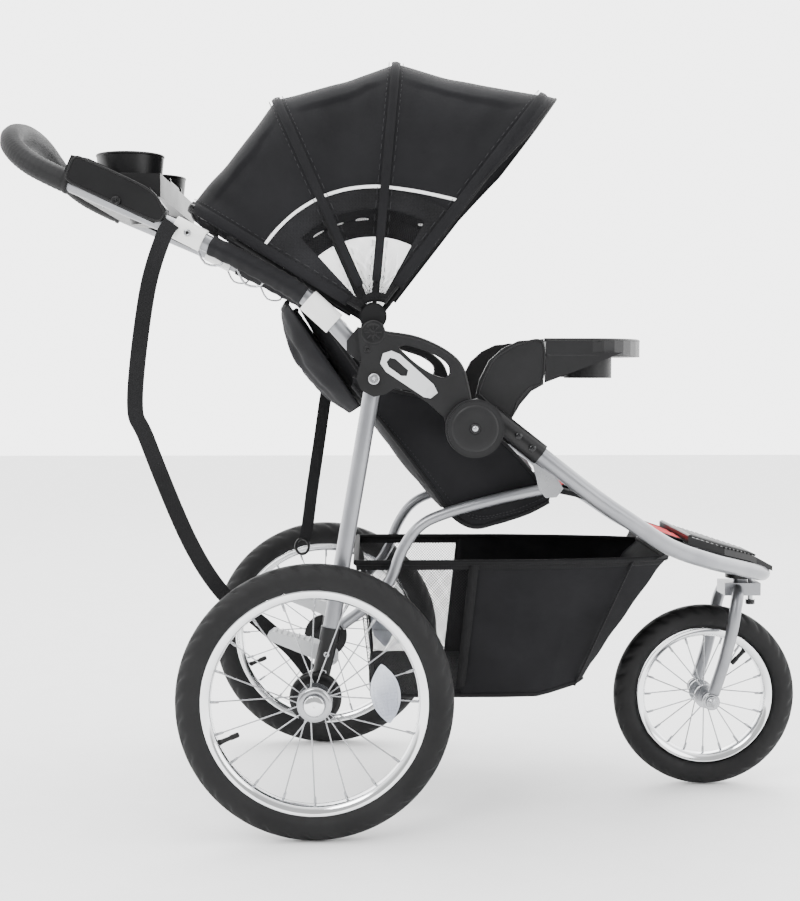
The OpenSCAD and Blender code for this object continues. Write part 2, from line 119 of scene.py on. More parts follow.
def coords(tree, scale=(1, 1, 1), turn=(0, 0, 0)):
    place = tree.nodes.new("ShaderNodeTexCoord")
    mapping = tree.nodes.new("ShaderNodeMapping")
    mapping.inputs["Scale"].default_value = scale
    mapping.inputs["Rotation"].default_value = turn
    tree.links.new(place.outputs["Object"], mapping.inputs["Vector"])
    return mapping.outputs["Vector"]


def vary(tree, shader, dark, light, scale, where, detail=4.0):
    """Slow colour variation between two shades."""
    n = add(tree, "ShaderNodeTexNoise", Scale=scale, Detail=detail)
    tree.links.new(where, n.inputs["Vector"])
    ramp = tree.nodes.new("ShaderNodeValToRGB")
    ramp.color_ramp.elements[0].position, ramp.color_ramp.elements[0].color = 0.35, (*dark, 1)
    ramp.color_ramp.elements[1].position, ramp.color_ramp.elements[1].color = 0.7, (*light, 1)
    tree.links.new(n.outputs["Fac"], ramp.inputs["Fac"])
    tree.links.new(ramp.outputs["Color"], shader.inputs["Base Color"])


def rough_vary(tree, shader, low, high, scale, where):
    n = add(tree, "ShaderNodeTexNoise", Scale=scale, Detail=5.0)
    tree.links.new(where, n.inputs["Vector"])
    span = tree.nodes.new("ShaderNodeMapRange")
    span.inputs["To Min"].default_value, span.inputs["To Max"].default_value = low, high
    tree.links.new(n.outputs["Fac"], span.inputs["Value"])
    tree.links.new(span.outputs["Result"], shader.inputs["Roughness"])


def bump(tree, shader, height, strength, distance):
    n = tree.nodes.new("ShaderNodeBump")
    n.inputs["Strength"].default_value, n.inputs["Distance"].default_value = strength, distance
    tree.links.new(height, n.inputs["Height"])
    tree.links.new(n.outputs["Normal"], shader.inputs["Normal"])


def woven(name, dark, light, thread=1500.0, sheen=0.25, rough=0.78, strength=0.35):
    """Plain-weave cloth: two crossed wave patterns, slow shade changes and a soft sheen."""
    m, t, b = new_material(name, dark, rough)
    where = coords(t)
    vary(t, b, dark, light, 9.0, where)
    waves = []
    for axis in ("X", "Z"):
        w = t.nodes.new("ShaderNodeTexWave")
        w.bands_direction = axis
        w.inputs["Scale"].default_value = thread / 6.3
        w.inputs["Distortion"].default_value = 1.2
        w.inputs["Detail"].default_value = 1.0
        t.links.new(where, w.inputs["Vector"])
        waves.append(w)
    both = t.nodes.new("ShaderNodeMath")
    both.operation = "MULTIPLY"
    t.links.new(waves[0].outputs["Fac"], both.inputs[0])
    t.links.new(waves[1].outputs["Fac"], both.inputs[1])
    bump(t, b, both.outputs["Value"], strength, 0.0006)
    b.inputs["Sheen Weight"].default_value = sheen * 0.12
    b.inputs["Sheen Roughness"].default_value = 0.45
    b.inputs["Specular IOR Level"].default_value = 0.16
    return m


def moulded(name, dark, light, rough, grain=900.0, strength=0.12):
    """Moulded plastic with a fine spark-eroded grain and slight polish changes."""
    m, t, b = new_material(name, dark, rough)
    where = coords(t)
    vary(t, b, dark, light, 14.0, where)
    rough_vary(t, b, rough - 0.06, rough + 0.08, 22.0, where)
    v = t.nodes.new("ShaderNodeTexVoronoi")
    v.inputs["Scale"].default_value = grain
    t.links.new(where, v.inputs["Vector"])
    bump(t, b, v.outputs["Distance"], strength, 0.0004)
    b.inputs["Specular IOR Level"].default_value = 0.26
    return m


def metal(name, dark, light, rough, metallic, grain=300.0, strength=0.04, coat=0.0):
    m, t, b = new_material(name, dark, rough, metallic)
    where = coords(t)
    vary(t, b, dark, light, 18.0, where)
    rough_vary(t, b, max(0.03, rough - 0.05), rough + 0.07, 35.0, where)
    n = add(t, "ShaderNodeTexNoise", Scale=grain, Detail=3.0)
    t.links.new(where, n.inputs["Vector"])
    bump(t, b, n.outputs["Fac"], strength, 0.0003)
    b.inputs["Coat Weight"].default_value = coat
    return m


FABRIC = woven("charcoal cloth", (0.0046, 0.0046, 0.0055), (0.0088, 0.0088, 0.0101))
LINING = woven("lining cloth", (0.0050, 0.0050, 0.0059), (0.0084, 0.0084, 0.0101), rough=0.85)
NET = woven("net thread", (0.0076, 0.0076, 0.0084), (0.0147, 0.0147, 0.0160), 900.0, 0.1, 0.7)
MESH = woven("open mesh cloth", (0.0025, 0.0025, 0.0029), (0.0126, 0.0126, 0.0143), 420.0, 0.2, 0.7, 1.0)
RED = woven("red cloth", (0.40, 0.006, 0.014), (0.50, 0.012, 0.020), 1300.0, 0.02)
WEBBING = woven("ribbed webbing", (0.0042, 0.0042, 0.0046), (0.0084, 0.0084, 0.0092), 800.0, 0.2, 0.7, 0.7)
PIPING = woven("white piping", (0.78, 0.78, 0.78), (0.88, 0.88, 0.87), 900.0, 0.2)
THREAD = woven("stitching thread", (0.0210, 0.0210, 0.0231), (0.0336, 0.0336, 0.0357), 600.0, 0.2)
BLACK = moulded("black plastic", (0.0034, 0.0034, 0.0038), (0.0055, 0.0055, 0.0059), 0.34)
GREY = moulded("grained dark plastic", (0.0059, 0.0059, 0.0063), (0.0092, 0.0092, 0.0101), 0.42, 1100.0, 0.2)
LIGHT = moulded("light grey plastic", (0.50, 0.51, 0.52), (0.60, 0.61, 0.62), 0.42)
WHITE = moulded("white plastic", (0.72, 0.72, 0.71), (0.82, 0.82, 0.81), 0.4)
GRIP = moulded("soft grip rubber", (0.0059, 0.0059, 0.0063), (0.0101, 0.0101, 0.0109), 0.62, 500.0, 0.4)
TYRE = moulded("tyre rubber", (0.0038, 0.0038, 0.0042), (0.0076, 0.0076, 0.0080), 0.66, 700.0, 0.25)
TUBE = metal("silver paint", (0.2139, 0.2185, 0.2325), (0.2604, 0.2651, 0.2790), 0.34, 0.75, 900.0, 0.05, 0.3)
CHROME = metal("chrome", (0.78, 0.79, 0.80), (0.86, 0.87, 0.88), 0.09, 1.0)
STEEL = metal("bright steel", (0.3410, 0.3472, 0.3596), (0.4092, 0.4154, 0.4278), 0.25, 1.0, 500.0, 0.08)
DARK_STEEL = metal("blackened rivet", (0.012, 0.012, 0.013), (0.03, 0.03, 0.03), 0.18, 0.6)
CLEAR = moulded("prismatic reflector", (0.34, 0.36, 0.42), (0.66, 0.69, 0.76), 0.16, 260.0, 0.9)
FLOOR = moulded("pale floor", (0.86, 0.86, 0.86), (0.88, 0.88, 0.88), 0.6, 40.0, 0.02)

SLOT_LOOK = {
    "silver_tube": TUBE, "black_plastic": BLACK, "grey_plastic": GREY, "light_plastic": LIGHT,
    "white_plastic": WHITE, "rubber_grip": GRIP, "fabric": FABRIC, "red_fabric": RED,
    "mesh_fabric": FABRIC, "webbing": WEBBING, "tyre": TYRE, "chrome": CHROME, "steel": STEEL,
    "reflector": CLEAR,
}
SLOT_OF = {row["node"]: row["material_slot"] for row in frame["record"]["subparts"]}
for node_name, node_object in frame["nodes"].items():
    look = SLOT_LOOK[SLOT_OF[node_name]]
    if node_name in ("frame_rivets", "leg_pins"):
        look = DARK_STEEL
    if node_name.endswith("_bow"):
        look = BLACK
    for holder in node_object.material_slots:
        holder.material = look
    if not node_object.material_slots:
        node_object.data.materials.append(look)


# ---------------------------------------------------------------- shape helpers
def finish_mesh(name, bm, look, body=None, smooth=True):
    name = name.replace(" ", "_")
    mesh = bpy.data.meshes.new(name)
    bmesh.ops.recalc_face_normals(bm, faces=bm.faces)
    bm.to_mesh(mesh)
    bm.free()
    for f in mesh.polygons:
        f.use_smooth = smooth
    mesh.materials.append(look)
    piece = bpy.data.objects.new(name, mesh)
    bpy.context.scene.collection.objects.link(piece)
    if body:
        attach(piece, body)
    return piece


def catmull(p, steps=6):
    """Points along a smooth line through p."""
    p = [Vector(q) for q in p]
    out = []
    for i in range(len(p) - 1):
        a, b, c, d = p[max(0, i - 1)], p[i], p[i + 1], p[min(len(p) - 1, i + 2)]
        for k in range(steps):
            t = k / steps
            out.append(0.5 * (2 * b + (c - a) * t + (2 * a - 5 * b + 4 * c - d) * t * t
                              + (3 * b - a - 3 * c + d) * t ** 3))
    return out + [p[-1]]


def mirrored(p):
    """The points, then their mirror image across the centre plane, joined at the last one."""
    return p + [(q[0], -q[1], q[2]) for q in reversed(p[:-1])]


def mm(points):
    return [tuple(c * MM for c in q) for q in points]


def sweep_mesh(bm, line, shape, up=(0, 1, 0), caps=True):
    """Sweeps a closed outline, shape(i, n) -> [(across, along up), ...], along the line."""
    up = Vector(up)
    rings = []
    for i, p in enumerate(line):
        t = (line[min(i + 1, len(line) - 1)] - line[max(i - 1, 0)]).normalized()
        u = t.cross(up).normalized()
        v = u.cross(t).normalized()
        rings.append([bm.verts.new(p + u * a + v * b) for a, b in shape(i, len(line))])
    n = len(rings[0])
    for r, q in zip(rings, rings[1:]):
        for k in range(n):
            bm.faces.new((r[k], r[(k + 1) % n], q[(k + 1) % n], q[k]))
    if caps:
        bm.faces.new(rings[0])
        bm.faces.new(rings[-1])


def circle(r, n=24):
    return [(r * math.cos(2 * math.pi * k / n), r * math.sin(2 * math.pi * k / n)) for k in range(n)]


def tube(name, points, r, look, body, up=(0, 1, 0), steps=8, sides=24):
    bm = bmesh.new()
    sweep_mesh(bm, catmull(mm(points), steps), lambda i, n: circle(r * MM, sides), up)
    return finish_mesh(name, bm, look, body)


def strap(name, points, width, thick, look, body, up=(0, 1, 0), steps=8):
    """Flat webbing with soft edges."""
    w, h = width * MM / 2, thick * MM / 2
    outline = [(h, -w), (h, w * -0.9), (h, w * 0.9), (h * 0.6, w), (-h * 0.6, w),
               (-h, w * 0.9), (-h, -w * 0.9), (-h * 0.6, -w)]
    bm = bmesh.new()
    sweep_mesh(bm, catmull(mm(points), steps), lambda i, n: outline, up)
    return finish_mesh(name, bm, look, body)


def grid(name, f, nu, nv, look, thickness=0.0, keep=None, body=None, levels=0):
    """A sheet from f(u, v), u and v from 0 to 1, with a thickness and optional holes."""
    bm = bmesh.new()
    v = [[bm.verts.new(f(i / nu, j / nv)) for j in range(nv + 1)] for i in range(nu + 1)]
    for i in range(nu):
        for j in range(nv):
            if keep is None or keep((i + 0.5) / nu, (j + 0.5) / nv):
                bm.faces.new((v[i][j], v[i + 1][j], v[i + 1][j + 1], v[i][j + 1]))
    bmesh.ops.delete(bm, geom=[q for q in bm.verts if not q.link_faces], context="VERTS")
    piece = finish_mesh(name, bm, look, body)
    if thickness:
        modify(piece, "SOLIDIFY", thickness=thickness, offset=0)
    if levels:
        modify(piece, "SUBSURF", levels=levels, render_levels=levels)
    return piece


def modify(piece, kind, **settings):
    m = piece.modifiers.new(kind.lower(), kind)
    for key, value in settings.items():
        setattr(m, key, value)
    return m


def apply_all(piece):
    """Turns the piece's modifiers into mesh."""
    deps = bpy.context.evaluated_depsgraph_get()
    mesh = bpy.data.meshes.new_from_object(piece.evaluated_get(deps))
    piece.modifiers.clear()
    piece.data = mesh
    return piece


def net(name, f, nu, nv, look, wire=0.0009, body=None, keep=None):
    """An open diamond mesh of real threads over the surface f(u, v)."""
    bm = bmesh.new()
    spots = {}
    for i in range(nu + 1):
        for j in range(nv + 1):
            if (i + j) % 2 == 0:
                spots[i, j] = bm.verts.new(f(i / nu, j / nv))
    for i in range(nu + 1):
        for j in range(nv + 1):
            if (i + j) % 2 == 1:
                around = [(i - 1, j), (i, j - 1), (i + 1, j), (i, j + 1)]
                if all(a in spots for a in around):
                    if keep is None or keep(i / nu, j / nv):
                        bm.faces.new([spots[a] for a in around])
    bmesh.ops.delete(bm, geom=[q for q in bm.verts if not q.link_faces], context="VERTS")
    piece = finish_mesh(name, bm, look, body)
    modify(piece, "WIREFRAME", thickness=wire, use_even_offset=False)
    return apply_all(piece)


def mix(a, b, t):
    return a + (b - a) * t


floor = grid("floor", lambda u, v: Vector((mix(-9, 9, u), mix(-4, 9, v), -0.0005)), 2, 2, FLOOR)


# ---------------------------------------------------------------- canopy
HUB = Vector((-66, 0, 752)) * MM
BOWS = [(148.6, 321), (114.0, 358), (84.7, 383), (52.2, 423)]   # angle from +X, length in mm
BOW_BODIES = ["rear_bow", "second_bow", "third_bow", "front_bow"]
# Arch from the side hem to the middle: (share of the bow's length, distance from the centre plane)
ARCH = [(0.13, 231), (0.3, 232), (0.5, 231), (0.66, 229), (0.78, 224), (0.87, 214), (0.935, 196),
        (0.973, 168), (0.992, 130), (1.0, 80), (1.002, 30), (1.002, 0)]
ARCH_LINE = catmull([(f, y * MM, 0) for f, y in ARCH], 5)
HEM_ROWS, SIDE_ROWS = 6 / 80, 32 / 80       # rows up to the hem bend and up to the piping
WINDOW_ROWS = (3 / 80, 26 / 80)
WINDOW_SPAN = [(13 / 28, 26 / 28), (2 / 28, 26 / 28), (2 / 28, 20 / 28)]
PIPING_R = 0.186


def arch_at(v):
    """Share of the length, and signed side distance, for v from 0 (right hem) to 1 (left hem)."""
    s = abs(2 * v - 1)
    at = (1 - s) * (len(ARCH_LINE) - 1)
    i = min(int(at), len(ARCH_LINE) - 2)
    p = ARCH_LINE[i].lerp(ARCH_LINE[i + 1], at - i)
    return p.x, p.y * (1 if v > 0.5 else -1)


def fan_point(i, t, v, lift=0.0):
    """A point of the fabric between bows i and i + 1."""
    (a0, l0), (a1, l1) = BOWS[i], BOWS[i + 1]
    share, y = arch_at(v)
    angle, gap = math.radians(mix(a0, a1, t)), math.radians(a0 - a1)
    chord = l0 * l1 * math.sin(gap) / (l0 * math.sin(t * gap) + l1 * math.sin((1 - t) * gap))
    slack = math.sin(math.pi * t)
    ripple = 0.0016 * math.sin(9 * math.pi * t) * max(0, 1 - abs(share - 0.86) * 5)
    fold = 0.0035 * noise.noise(Vector((share * 7, t * 3 + i * 2.3, y * 5))) * slack
    r = share * (chord * MM * (1 - 0.010 * slack * min(1, share * 1.2))) + lift + fold * (share > 0.9)
    dy = (-0.005 * slack * (share < 0.9) * min(1, share * 3) + ripple + fold) * (1 if y > 0 else -1)
    if abs(y) < 0.1:
        dy = 0
    grow = 1 + lift / 0.23
    return HUB + Vector((r * math.cos(angle), (y + dy) * grow, r * math.sin(angle)))


def fan_blend(piece, i):
    """The piece bends between bows i and i + 1, by its angle about the hub."""
    apply_all(piece)
    ends = [HUB + Vector((math.cos(math.radians(a)), 0, math.sin(math.radians(a)))) * 0.35
            for a, _ in (BOWS[i], BOWS[i + 1])]
    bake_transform(piece, BOW_BODIES[i], BOW_BODIES[i + 1], start=ends[0], end=ends[1])
    weight = piece.data.attributes["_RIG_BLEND"].data
    for k, q in enumerate(piece.data.vertices):
        d = q.co - HUB
        angle = math.degrees(math.atan2(d.z, d.x))
        weight[k].value = min(1, max(0, (BOWS[i][0] - angle) / (BOWS[i][0] - BOWS[i + 1][0])))


def hub_radius(i, t, v):
    """Distance of the cloth from the hub, seen from the side."""
    p = fan_point(i, t, v) - HUB
    return math.hypot(p.x, p.z)


def at_radius(i, t, r):
    """The v, on the first half of the arch, where the fabric is r from the hub."""
    low, high = 0.0, 0.5
    for _ in range(20):
        half = (low + high) / 2
        low, high = (half, high) if hub_radius(i, t, half) < r else (low, half)
    return low


def fan_row(i, t, v):
    """A point of the cloth with rows that run concentric with the hub up to the piping."""
    s = 1 - abs(2 * v - 1)
    if s < HEM_ROWS:
        p = fan_point(i, t, 0 if v < 0.5 else 1)
        near = mix(0.45, 1, s / HEM_ROWS)
        return Vector((mix(HUB.x, p.x, near), p.y, mix(HUB.z, p.z, near)))
    if s < SIDE_ROWS:
        r = mix(hub_radius(i, t, 0), PIPING_R, (s - HEM_ROWS) / (SIDE_ROWS - HEM_ROWS))
        w = at_radius(i, t, r)
    else:
        w = mix(at_radius(i, t, PIPING_R), 0.5, (s - SIDE_ROWS) / (1 - SIDE_ROWS))
    return fan_point(i, t, w if v < 0.5 else 1 - w)


def in_window(i, t, v):
    """Whether a row and column of the cloth lie in the see-through part."""
    s = 1 - abs(2 * v - 1)
    return WINDOW_ROWS[0] < s < WINDOW_ROWS[1] and WINDOW_SPAN[i][0] < t < WINDOW_SPAN[i][1]


PANELS = ["canopy_rear_panel", "canopy_mid_panel", "canopy_front_panel"]


def canopy_panel(i):
    """One cloth panel between two bows, with its mesh borders near the hub."""
    lip = 0.5 * SIDE_ROWS
    panel = grid("canopy cloth " + str(i + 1), lambda u, v: fan_row(i, u, mix(lip, 1 - lip, v)), 28, 96,
            FABRIC)
    border = [grid(f"canopy mesh border {i + 1} {side}", lambda u,
            v: fan_row(i, u, lip * v if side < 0 else 1 - lip * v),
                   28, 32, MESH, keep=lambda u, v: not in_window(i, u, lip * v)) for side in (-1, 1)]
    for cloth in [panel] + border:
        modify(cloth, "SOLIDIFY", thickness=0.0012, offset=0)
        fan_blend(cloth, i)
    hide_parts(PANELS[i])
    edges = [[fan_row(i, t, mix(lip, 1 - lip, k / 96)) for k in range(97)] for t in (0, 1)]


def fan_net(i, side, name):
    """See-through side window: threads in angle and radius about the hub."""
    def f(u, v):
        t = mix(WINDOW_SPAN[i][0] - 0.01, WINDOW_SPAN[i][1] + 0.01, u)
        s = mix(WINDOW_ROWS[0] - 0.005, WINDOW_ROWS[1] + 0.005, v)
        return fan_row(i, t, s / 2 if side < 0 else 1 - s / 2)
    cells = int(46 * (WINDOW_SPAN[i][1] - WINDOW_SPAN[i][0]))
    fan_blend(net(name, f, cells, 46, NET, 0.0006), i)


def piping(i, side):
    """White piping along an arc about the hub."""
    line = []
    for k in range(25):
        t = k / 24
        p = fan_point(i, t, at_radius(i, t, PIPING_R + 0.022 * max(0, (i + t - 2)) ** 2))
        line.append(Vector((p.x, (abs(p.y) + 0.0012) * side, p.z)))
    bm = bmesh.new()
    sweep_mesh(bm, line, lambda a, n: [(x * 0.5, y) for x, y in circle(0.0026, 10)], (0, 0.3, 1))
    piece = finish_mesh(f"canopy piping {i + 1} {'left' if side > 0 else 'right'}", bm, PIPING, None)
    fan_blend(piece, i)


def bow_sleeve(i):
    """Stitched fabric channel over a bow, from hem to hem."""
    a = BOWS[i][0]
    j, t = (i, 0.0) if i < 3 else (2, 1.0)
    line = [fan_point(j, t, k / 90, 0.0008) for k in range(91)]
    normal = (-math.sin(math.radians(a)), 0, math.cos(math.radians(a)))
    bm = bmesh.new()
    wide = 0.0065 if i in (1, 2) else 0.008
    sweep_mesh(bm, line, lambda k, n: [(0.0016, -wide), (0.0028, -wide * 0.5), (0.0034, 0),
            (0.0028, wide * 0.5),
                                       (0.0016, wide), (-0.001, wide), (-0.001, -wide)], normal)
    finish_mesh("canopy bow sleeve " + str(i + 1), bm, FABRIC, BOW_BODIES[i])
    for s in (-1, 1):
        if (i, s) in ((0, 1), (3, -1)):
            continue
        bm = bmesh.new()
        for k in range(0, 90):
            p, q = line[k], line[k + 1]
            away = Vector(normal) * s * (wide + 0.004)
            centre_out = (p - HUB).normalized() * 0.0011
            stitch = [p.lerp(q, 0.15) + away + centre_out, p.lerp(q, 0.7) + away + centre_out]
            sweep_mesh(bm, stitch, lambda m, n: circle(0.00045, 5), normal)
        finish_mesh(f"canopy seam {i + 1} {'front' if s < 0 else 'back'}", bm, THREAD, BOW_BODIES[i])


def canopy_lip():
    """Stiff flared edge in front of the front bow."""
    a = BOWS[3][0]
    ahead = Vector((math.sin(math.radians(a)), 0, -math.cos(math.radians(a))))

    def f(u, v):
        p = fan_point(2, 1.0, mix(0.06, 0.94, u))
        out = (p - HUB).normalized()
        ends = min(1, u * 7, (1 - u) * 7)
        return p + ahead * 0.016 * v * ends + out * (0.007 * v * v + 0.002 * math.sin(math.pi * v)) * ends
    grid("canopy front lip", f, 90, 6, FABRIC, 0.003, None, "front_bow")
    edge = [f(k / 90, 1.0) for k in range(91)]
    bm = bmesh.new()
    sweep_mesh(bm, edge, lambda k, n: circle(0.0024, 10), ahead)
    finish_mesh("canopy front binding", bm, WEBBING, "front_bow")


def canopy_valance():
    """Rear skirt that hangs from the rear bow."""
    a = BOWS[0][0]
    back = Vector((math.cos(math.radians(a + 90)), 0, math.sin(math.radians(a + 90))))

    def f(u, v):
        p = fan_point(0, 0.0, mix(0.3, 0.7, u))
        wave = 0.002 * math.sin(u * 34) * v
        return p + back * (0.014 * v) + (p - HUB).normalized() * (-0.012 * v * v + wave)
    grid("canopy rear skirt", f, 80, 6, FABRIC, 0.0016, None, "rear_bow")


for fan in range(3):
    canopy_panel(fan)
    for hand in (-1, 1):
        fan_net(fan, hand, f"canopy window {fan + 1} {'left' if hand > 0 else 'right'}")
        piping(fan, hand)
for bow_index in range(4):
    bow_sleeve(bow_index)
canopy_lip()
canopy_valance()


# ---------------------------------------------------------------- padded seat
def puff(piece, voxel=0.006, pressure=4.0, cap=0.010, skip=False):
    """Swells a closed form like a filled pad: voxel remesh, cloth under pressure, movement capped."""
    if skip:
        return piece
    modify(piece, "REMESH", mode="VOXEL", voxel_size=voxel)
    apply_all(piece)
    start = [v.co.copy() for v in piece.data.vertices]
    cloth = piece.modifiers.new("cloth", "CLOTH")
    cloth.settings.use_pressure = True
    cloth.settings.uniform_pressure_force = pressure
    cloth.settings.effector_weights.gravity = 0
    cloth.settings.quality = 4
    cloth.settings.mass = 0.3
    cloth.point_cache.frame_start, cloth.point_cache.frame_end = 1, 20
    for step in range(1, 21):
        bpy.context.scene.frame_set(step)
    deps = bpy.context.evaluated_depsgraph_get()
    moved = [v.co.copy() for v in piece.evaluated_get(deps).data.vertices]
    piece.modifiers.clear()
    bpy.context.scene.frame_set(1)
    for v, a, b in zip(piece.data.vertices, start, moved):
        d = b - a
        v.co = a + d * min(1.0, cap / max(d.length, 1e-9))
    for f in piece.data.polygons:
        f.use_smooth = True
    modify(piece, "SMOOTH", factor=0.5, iterations=4)
    modify(piece, "SUBSURF", levels=1, render_levels=1)
    return apply_all(piece)


def pad_form(name, place, length, width, thick, look, taper=0.0, channels=(), nu=34, nv=26):
    """A closed crowned pad. place(x, y, z) maps pad lengths to the frame; channels are sewn lines."""
    bm = bmesh.new()
    rows = []
    for side in (1, -1):
        sheet = []
        for i in range(nu + 1):
            row = []
            for j in range(nv + 1):
                u, v = i / nu, j / nv * 2 - 1
                crown = (1 - abs(2 * u - 1) ** 5) ** 0.5 * (1 - abs(v) ** 5) ** 0.5
                groove = sum(0.35 * math.exp(-((u - c) * 40) ** 2) for c in channels) if side > 0 else 0
                pull = 1 - 0.025 * math.sin(math.pi * u)
                y = v * width / 2 * mix(1, 1 - taper, u) * pull
                row.append(place(u * length, y, side * thick / 2 * crown * (1 - groove)))
            sheet.append(row)
        rows.append(sheet)
    front = [[bm.verts.new(p) for p in row] for row in rows[0]]
    back = [[bm.verts.new(p) if 0 < i < nu and 0 < j < nv else front[i][j] for j, p in enumerate(row)]
            for i, row in enumerate(rows[1])]
    for sheet in (front, back):
        for i in range(nu):
            for j in range(nv):
                bm.faces.new((sheet[i][j], sheet[i + 1][j], sheet[i + 1][j + 1], sheet[i][j + 1]))
    return finish_mesh(name, bm, look)


BACK_HINGE = Vector((50, 0, 452)) * MM
BACK_UP = Vector((-math.cos(math.radians(55)), 0, math.sin(math.radians(55))))
BACK_OUT = Vector((math.sin(math.radians(55)), 0, math.cos(math.radians(55))))
ACROSS = Vector((0, 1, 0))


def on_back(x, y, z):
    """x up the back from the hinge, y to the left, z out of its front face."""
    return BACK_HINGE + BACK_UP * x + ACROSS * y + BACK_OUT * z


def seat_back_pad():
    pad = pad_form("seat_back_pad", lambda x, y, z: on_back(x + 0.024, y, z + 0.013), 0.402, 0.318, 0.030,
                   FABRIC, 0.10)
    puff(pad, cap=0.008)
    modify(pad, "SMOOTH", factor=0.4, iterations=2)
    apply_all(pad)
    for v in pad.data.vertices:
        d = v.co - BACK_HINGE
        x, z = d.dot(BACK_UP), d.dot(BACK_OUT)
        if z > 0.013:
            for line in (0.13, 0.235, 0.335):
                v.co -= BACK_OUT * 0.008 * math.exp(-((x - line) / 0.0045) ** 2)
        v.co += BACK_OUT * 0.0015 * noise.noise(v.co * 16)
    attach(pad, "seat_back")
    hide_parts("seat_back")


def binding(name, line, r, look, body, up=(0, 1, 0)):
    bm = bmesh.new()
    sweep_mesh(bm, line, lambda k, n: circle(r, 10), up)
    return finish_mesh(name, bm, look, body)


def stitches(name, line, look, body, gap=0.0045, r=0.00045, up=(0, 0, 1)):
    """A row of short stitches along a line."""
    bm = bmesh.new()
    length = 0.0
    for a, b in zip(line, line[1:]):
        d = (b - a).length
        length += d
        if length >= gap and d > 1e-6:
            t = (b - a).normalized()
            if abs(t.dot(Vector(up))) < 0.97:
                sweep_mesh(bm, [a, a + t * gap * 0.62], lambda k, n: circle(r, 5), up)
            length = 0.0
    return finish_mesh(name, bm, look, body)


def dense(points, count=120):
    """Evenly spaced points along the line through points."""
    line = catmull(points, 12)
    lengths = [0.0]
    for a, b in zip(line, line[1:]):
        lengths.append(lengths[-1] + (b - a).length)
    out, k = [], 0
    for i in range(count + 1):
        want = lengths[-1] * i / count
        while k < len(line) - 2 and lengths[k + 1] < want:
            k += 1
        span = max(lengths[k + 1] - lengths[k], 1e-9)
        out.append(line[k].lerp(line[k + 1], (want - lengths[k]) / span))
    return out


def seat_back_shell():
    """Fabric shell behind the pad, with its rear pocket, pocket elastic and rim binding."""
    def f(u, v):
        s = 2 * v - 1
        x = mix(0.015, 0.425, u)
        side = abs(s) ** 6
        depth = -0.004 - 0.030 * math.sin(math.pi * min(1, u * 1.1)) ** 0.8 * (1 - side) * 0.35
        sag = 0.004 * noise.noise(Vector((u * 5, s * 4, 1.7)))
        return on_back(x, s * 0.164 * mix(1, 0.93, u), depth + sag * (1 - side) + 0.026 * side)
    grid("seat_back_shell", f, 50, 44, FABRIC, 0.0022, None, "seat_back")

    def pocket(u, v):
        s = 2 * v - 1
        x = mix(0.215, 0.405, u)
        puff_out = (1 - abs(s) ** 4) * (math.sin(math.pi * (0.12 + 0.8 * u)) ** 0.7)
        crease = 0.006 * noise.noise(Vector((u * 6, s * 7, 4.1))) + 0.003 * math.sin(s * 22) * u
        return on_back(x - 0.012 * (1 - abs(s)) * (u > 0.98), s * 0.150 * mix(1, 0.97, u),
                       -0.015 - (0.042 + crease) * puff_out)
    grid("seat_back_pocket", pocket, 40, 60, LINING, 0.0020, None, "seat_back")
    top = [pocket(1.0, k / 80) for k in range(81)]
    binding("pocket_elastic", top, 0.004, WEBBING, "seat_back", BACK_OUT)
    rim = [on_back(x, y, 0.014) for x, y in
           [(0.02, 0.165), (0.15, 0.164), (0.30, 0.160), (0.39, 0.156), (0.425, 0.135),
            (0.432, 0.06), (0.432, 0.0)]]
    rim += [Vector((p.x, -p.y, p.z)) for p in reversed(rim[:-1])]
    binding("seat_back_rim", dense(rim, 160), 0.0036, WEBBING, "seat_back", BACK_OUT)


def pan_pad():
    """Seat cushion, crowned on both faces, and pulled in at its corners."""
    a, b = Vector((70, 0, 467)) * MM, Vector((186, 0, 492)) * MM
    along = (b - a).normalized()
    out = Vector((-along.z, 0, along.x))
    pad = pad_form("seat_cushion", lambda x, y, z: a + along * x + ACROSS * y + out * (z + 0.004),
                   (b - a).length, 0.316, 0.028, FABRIC)
    puff(pad, cap=0.007)
    for v in pad.data.vertices:
        v.co += out * 0.0012 * noise.noise(v.co * 20)
    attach(pad, "frame")
    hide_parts("seat_pan")


# Side panel of the seat: its lower edge runs under the seat, its upper edge up to the discs
WING_LOW = mm([(-96, 0, 652), (-60, 0, 606), (-18, 0, 552), (22, 0, 498), (52, 0, 458), (84, 0, 440),
               (120, 0, 447), (164, 0, 461), (197, 0, 478)])
WING_HIGH = mm([(-96, 0, 666), (-58, 0, 650), (-18, 0, 640), (20, 0, 632), (52, 0, 618), (84, 0, 600),
                (118, 0, 576), (158, 0, 536), (199, 0, 487)])


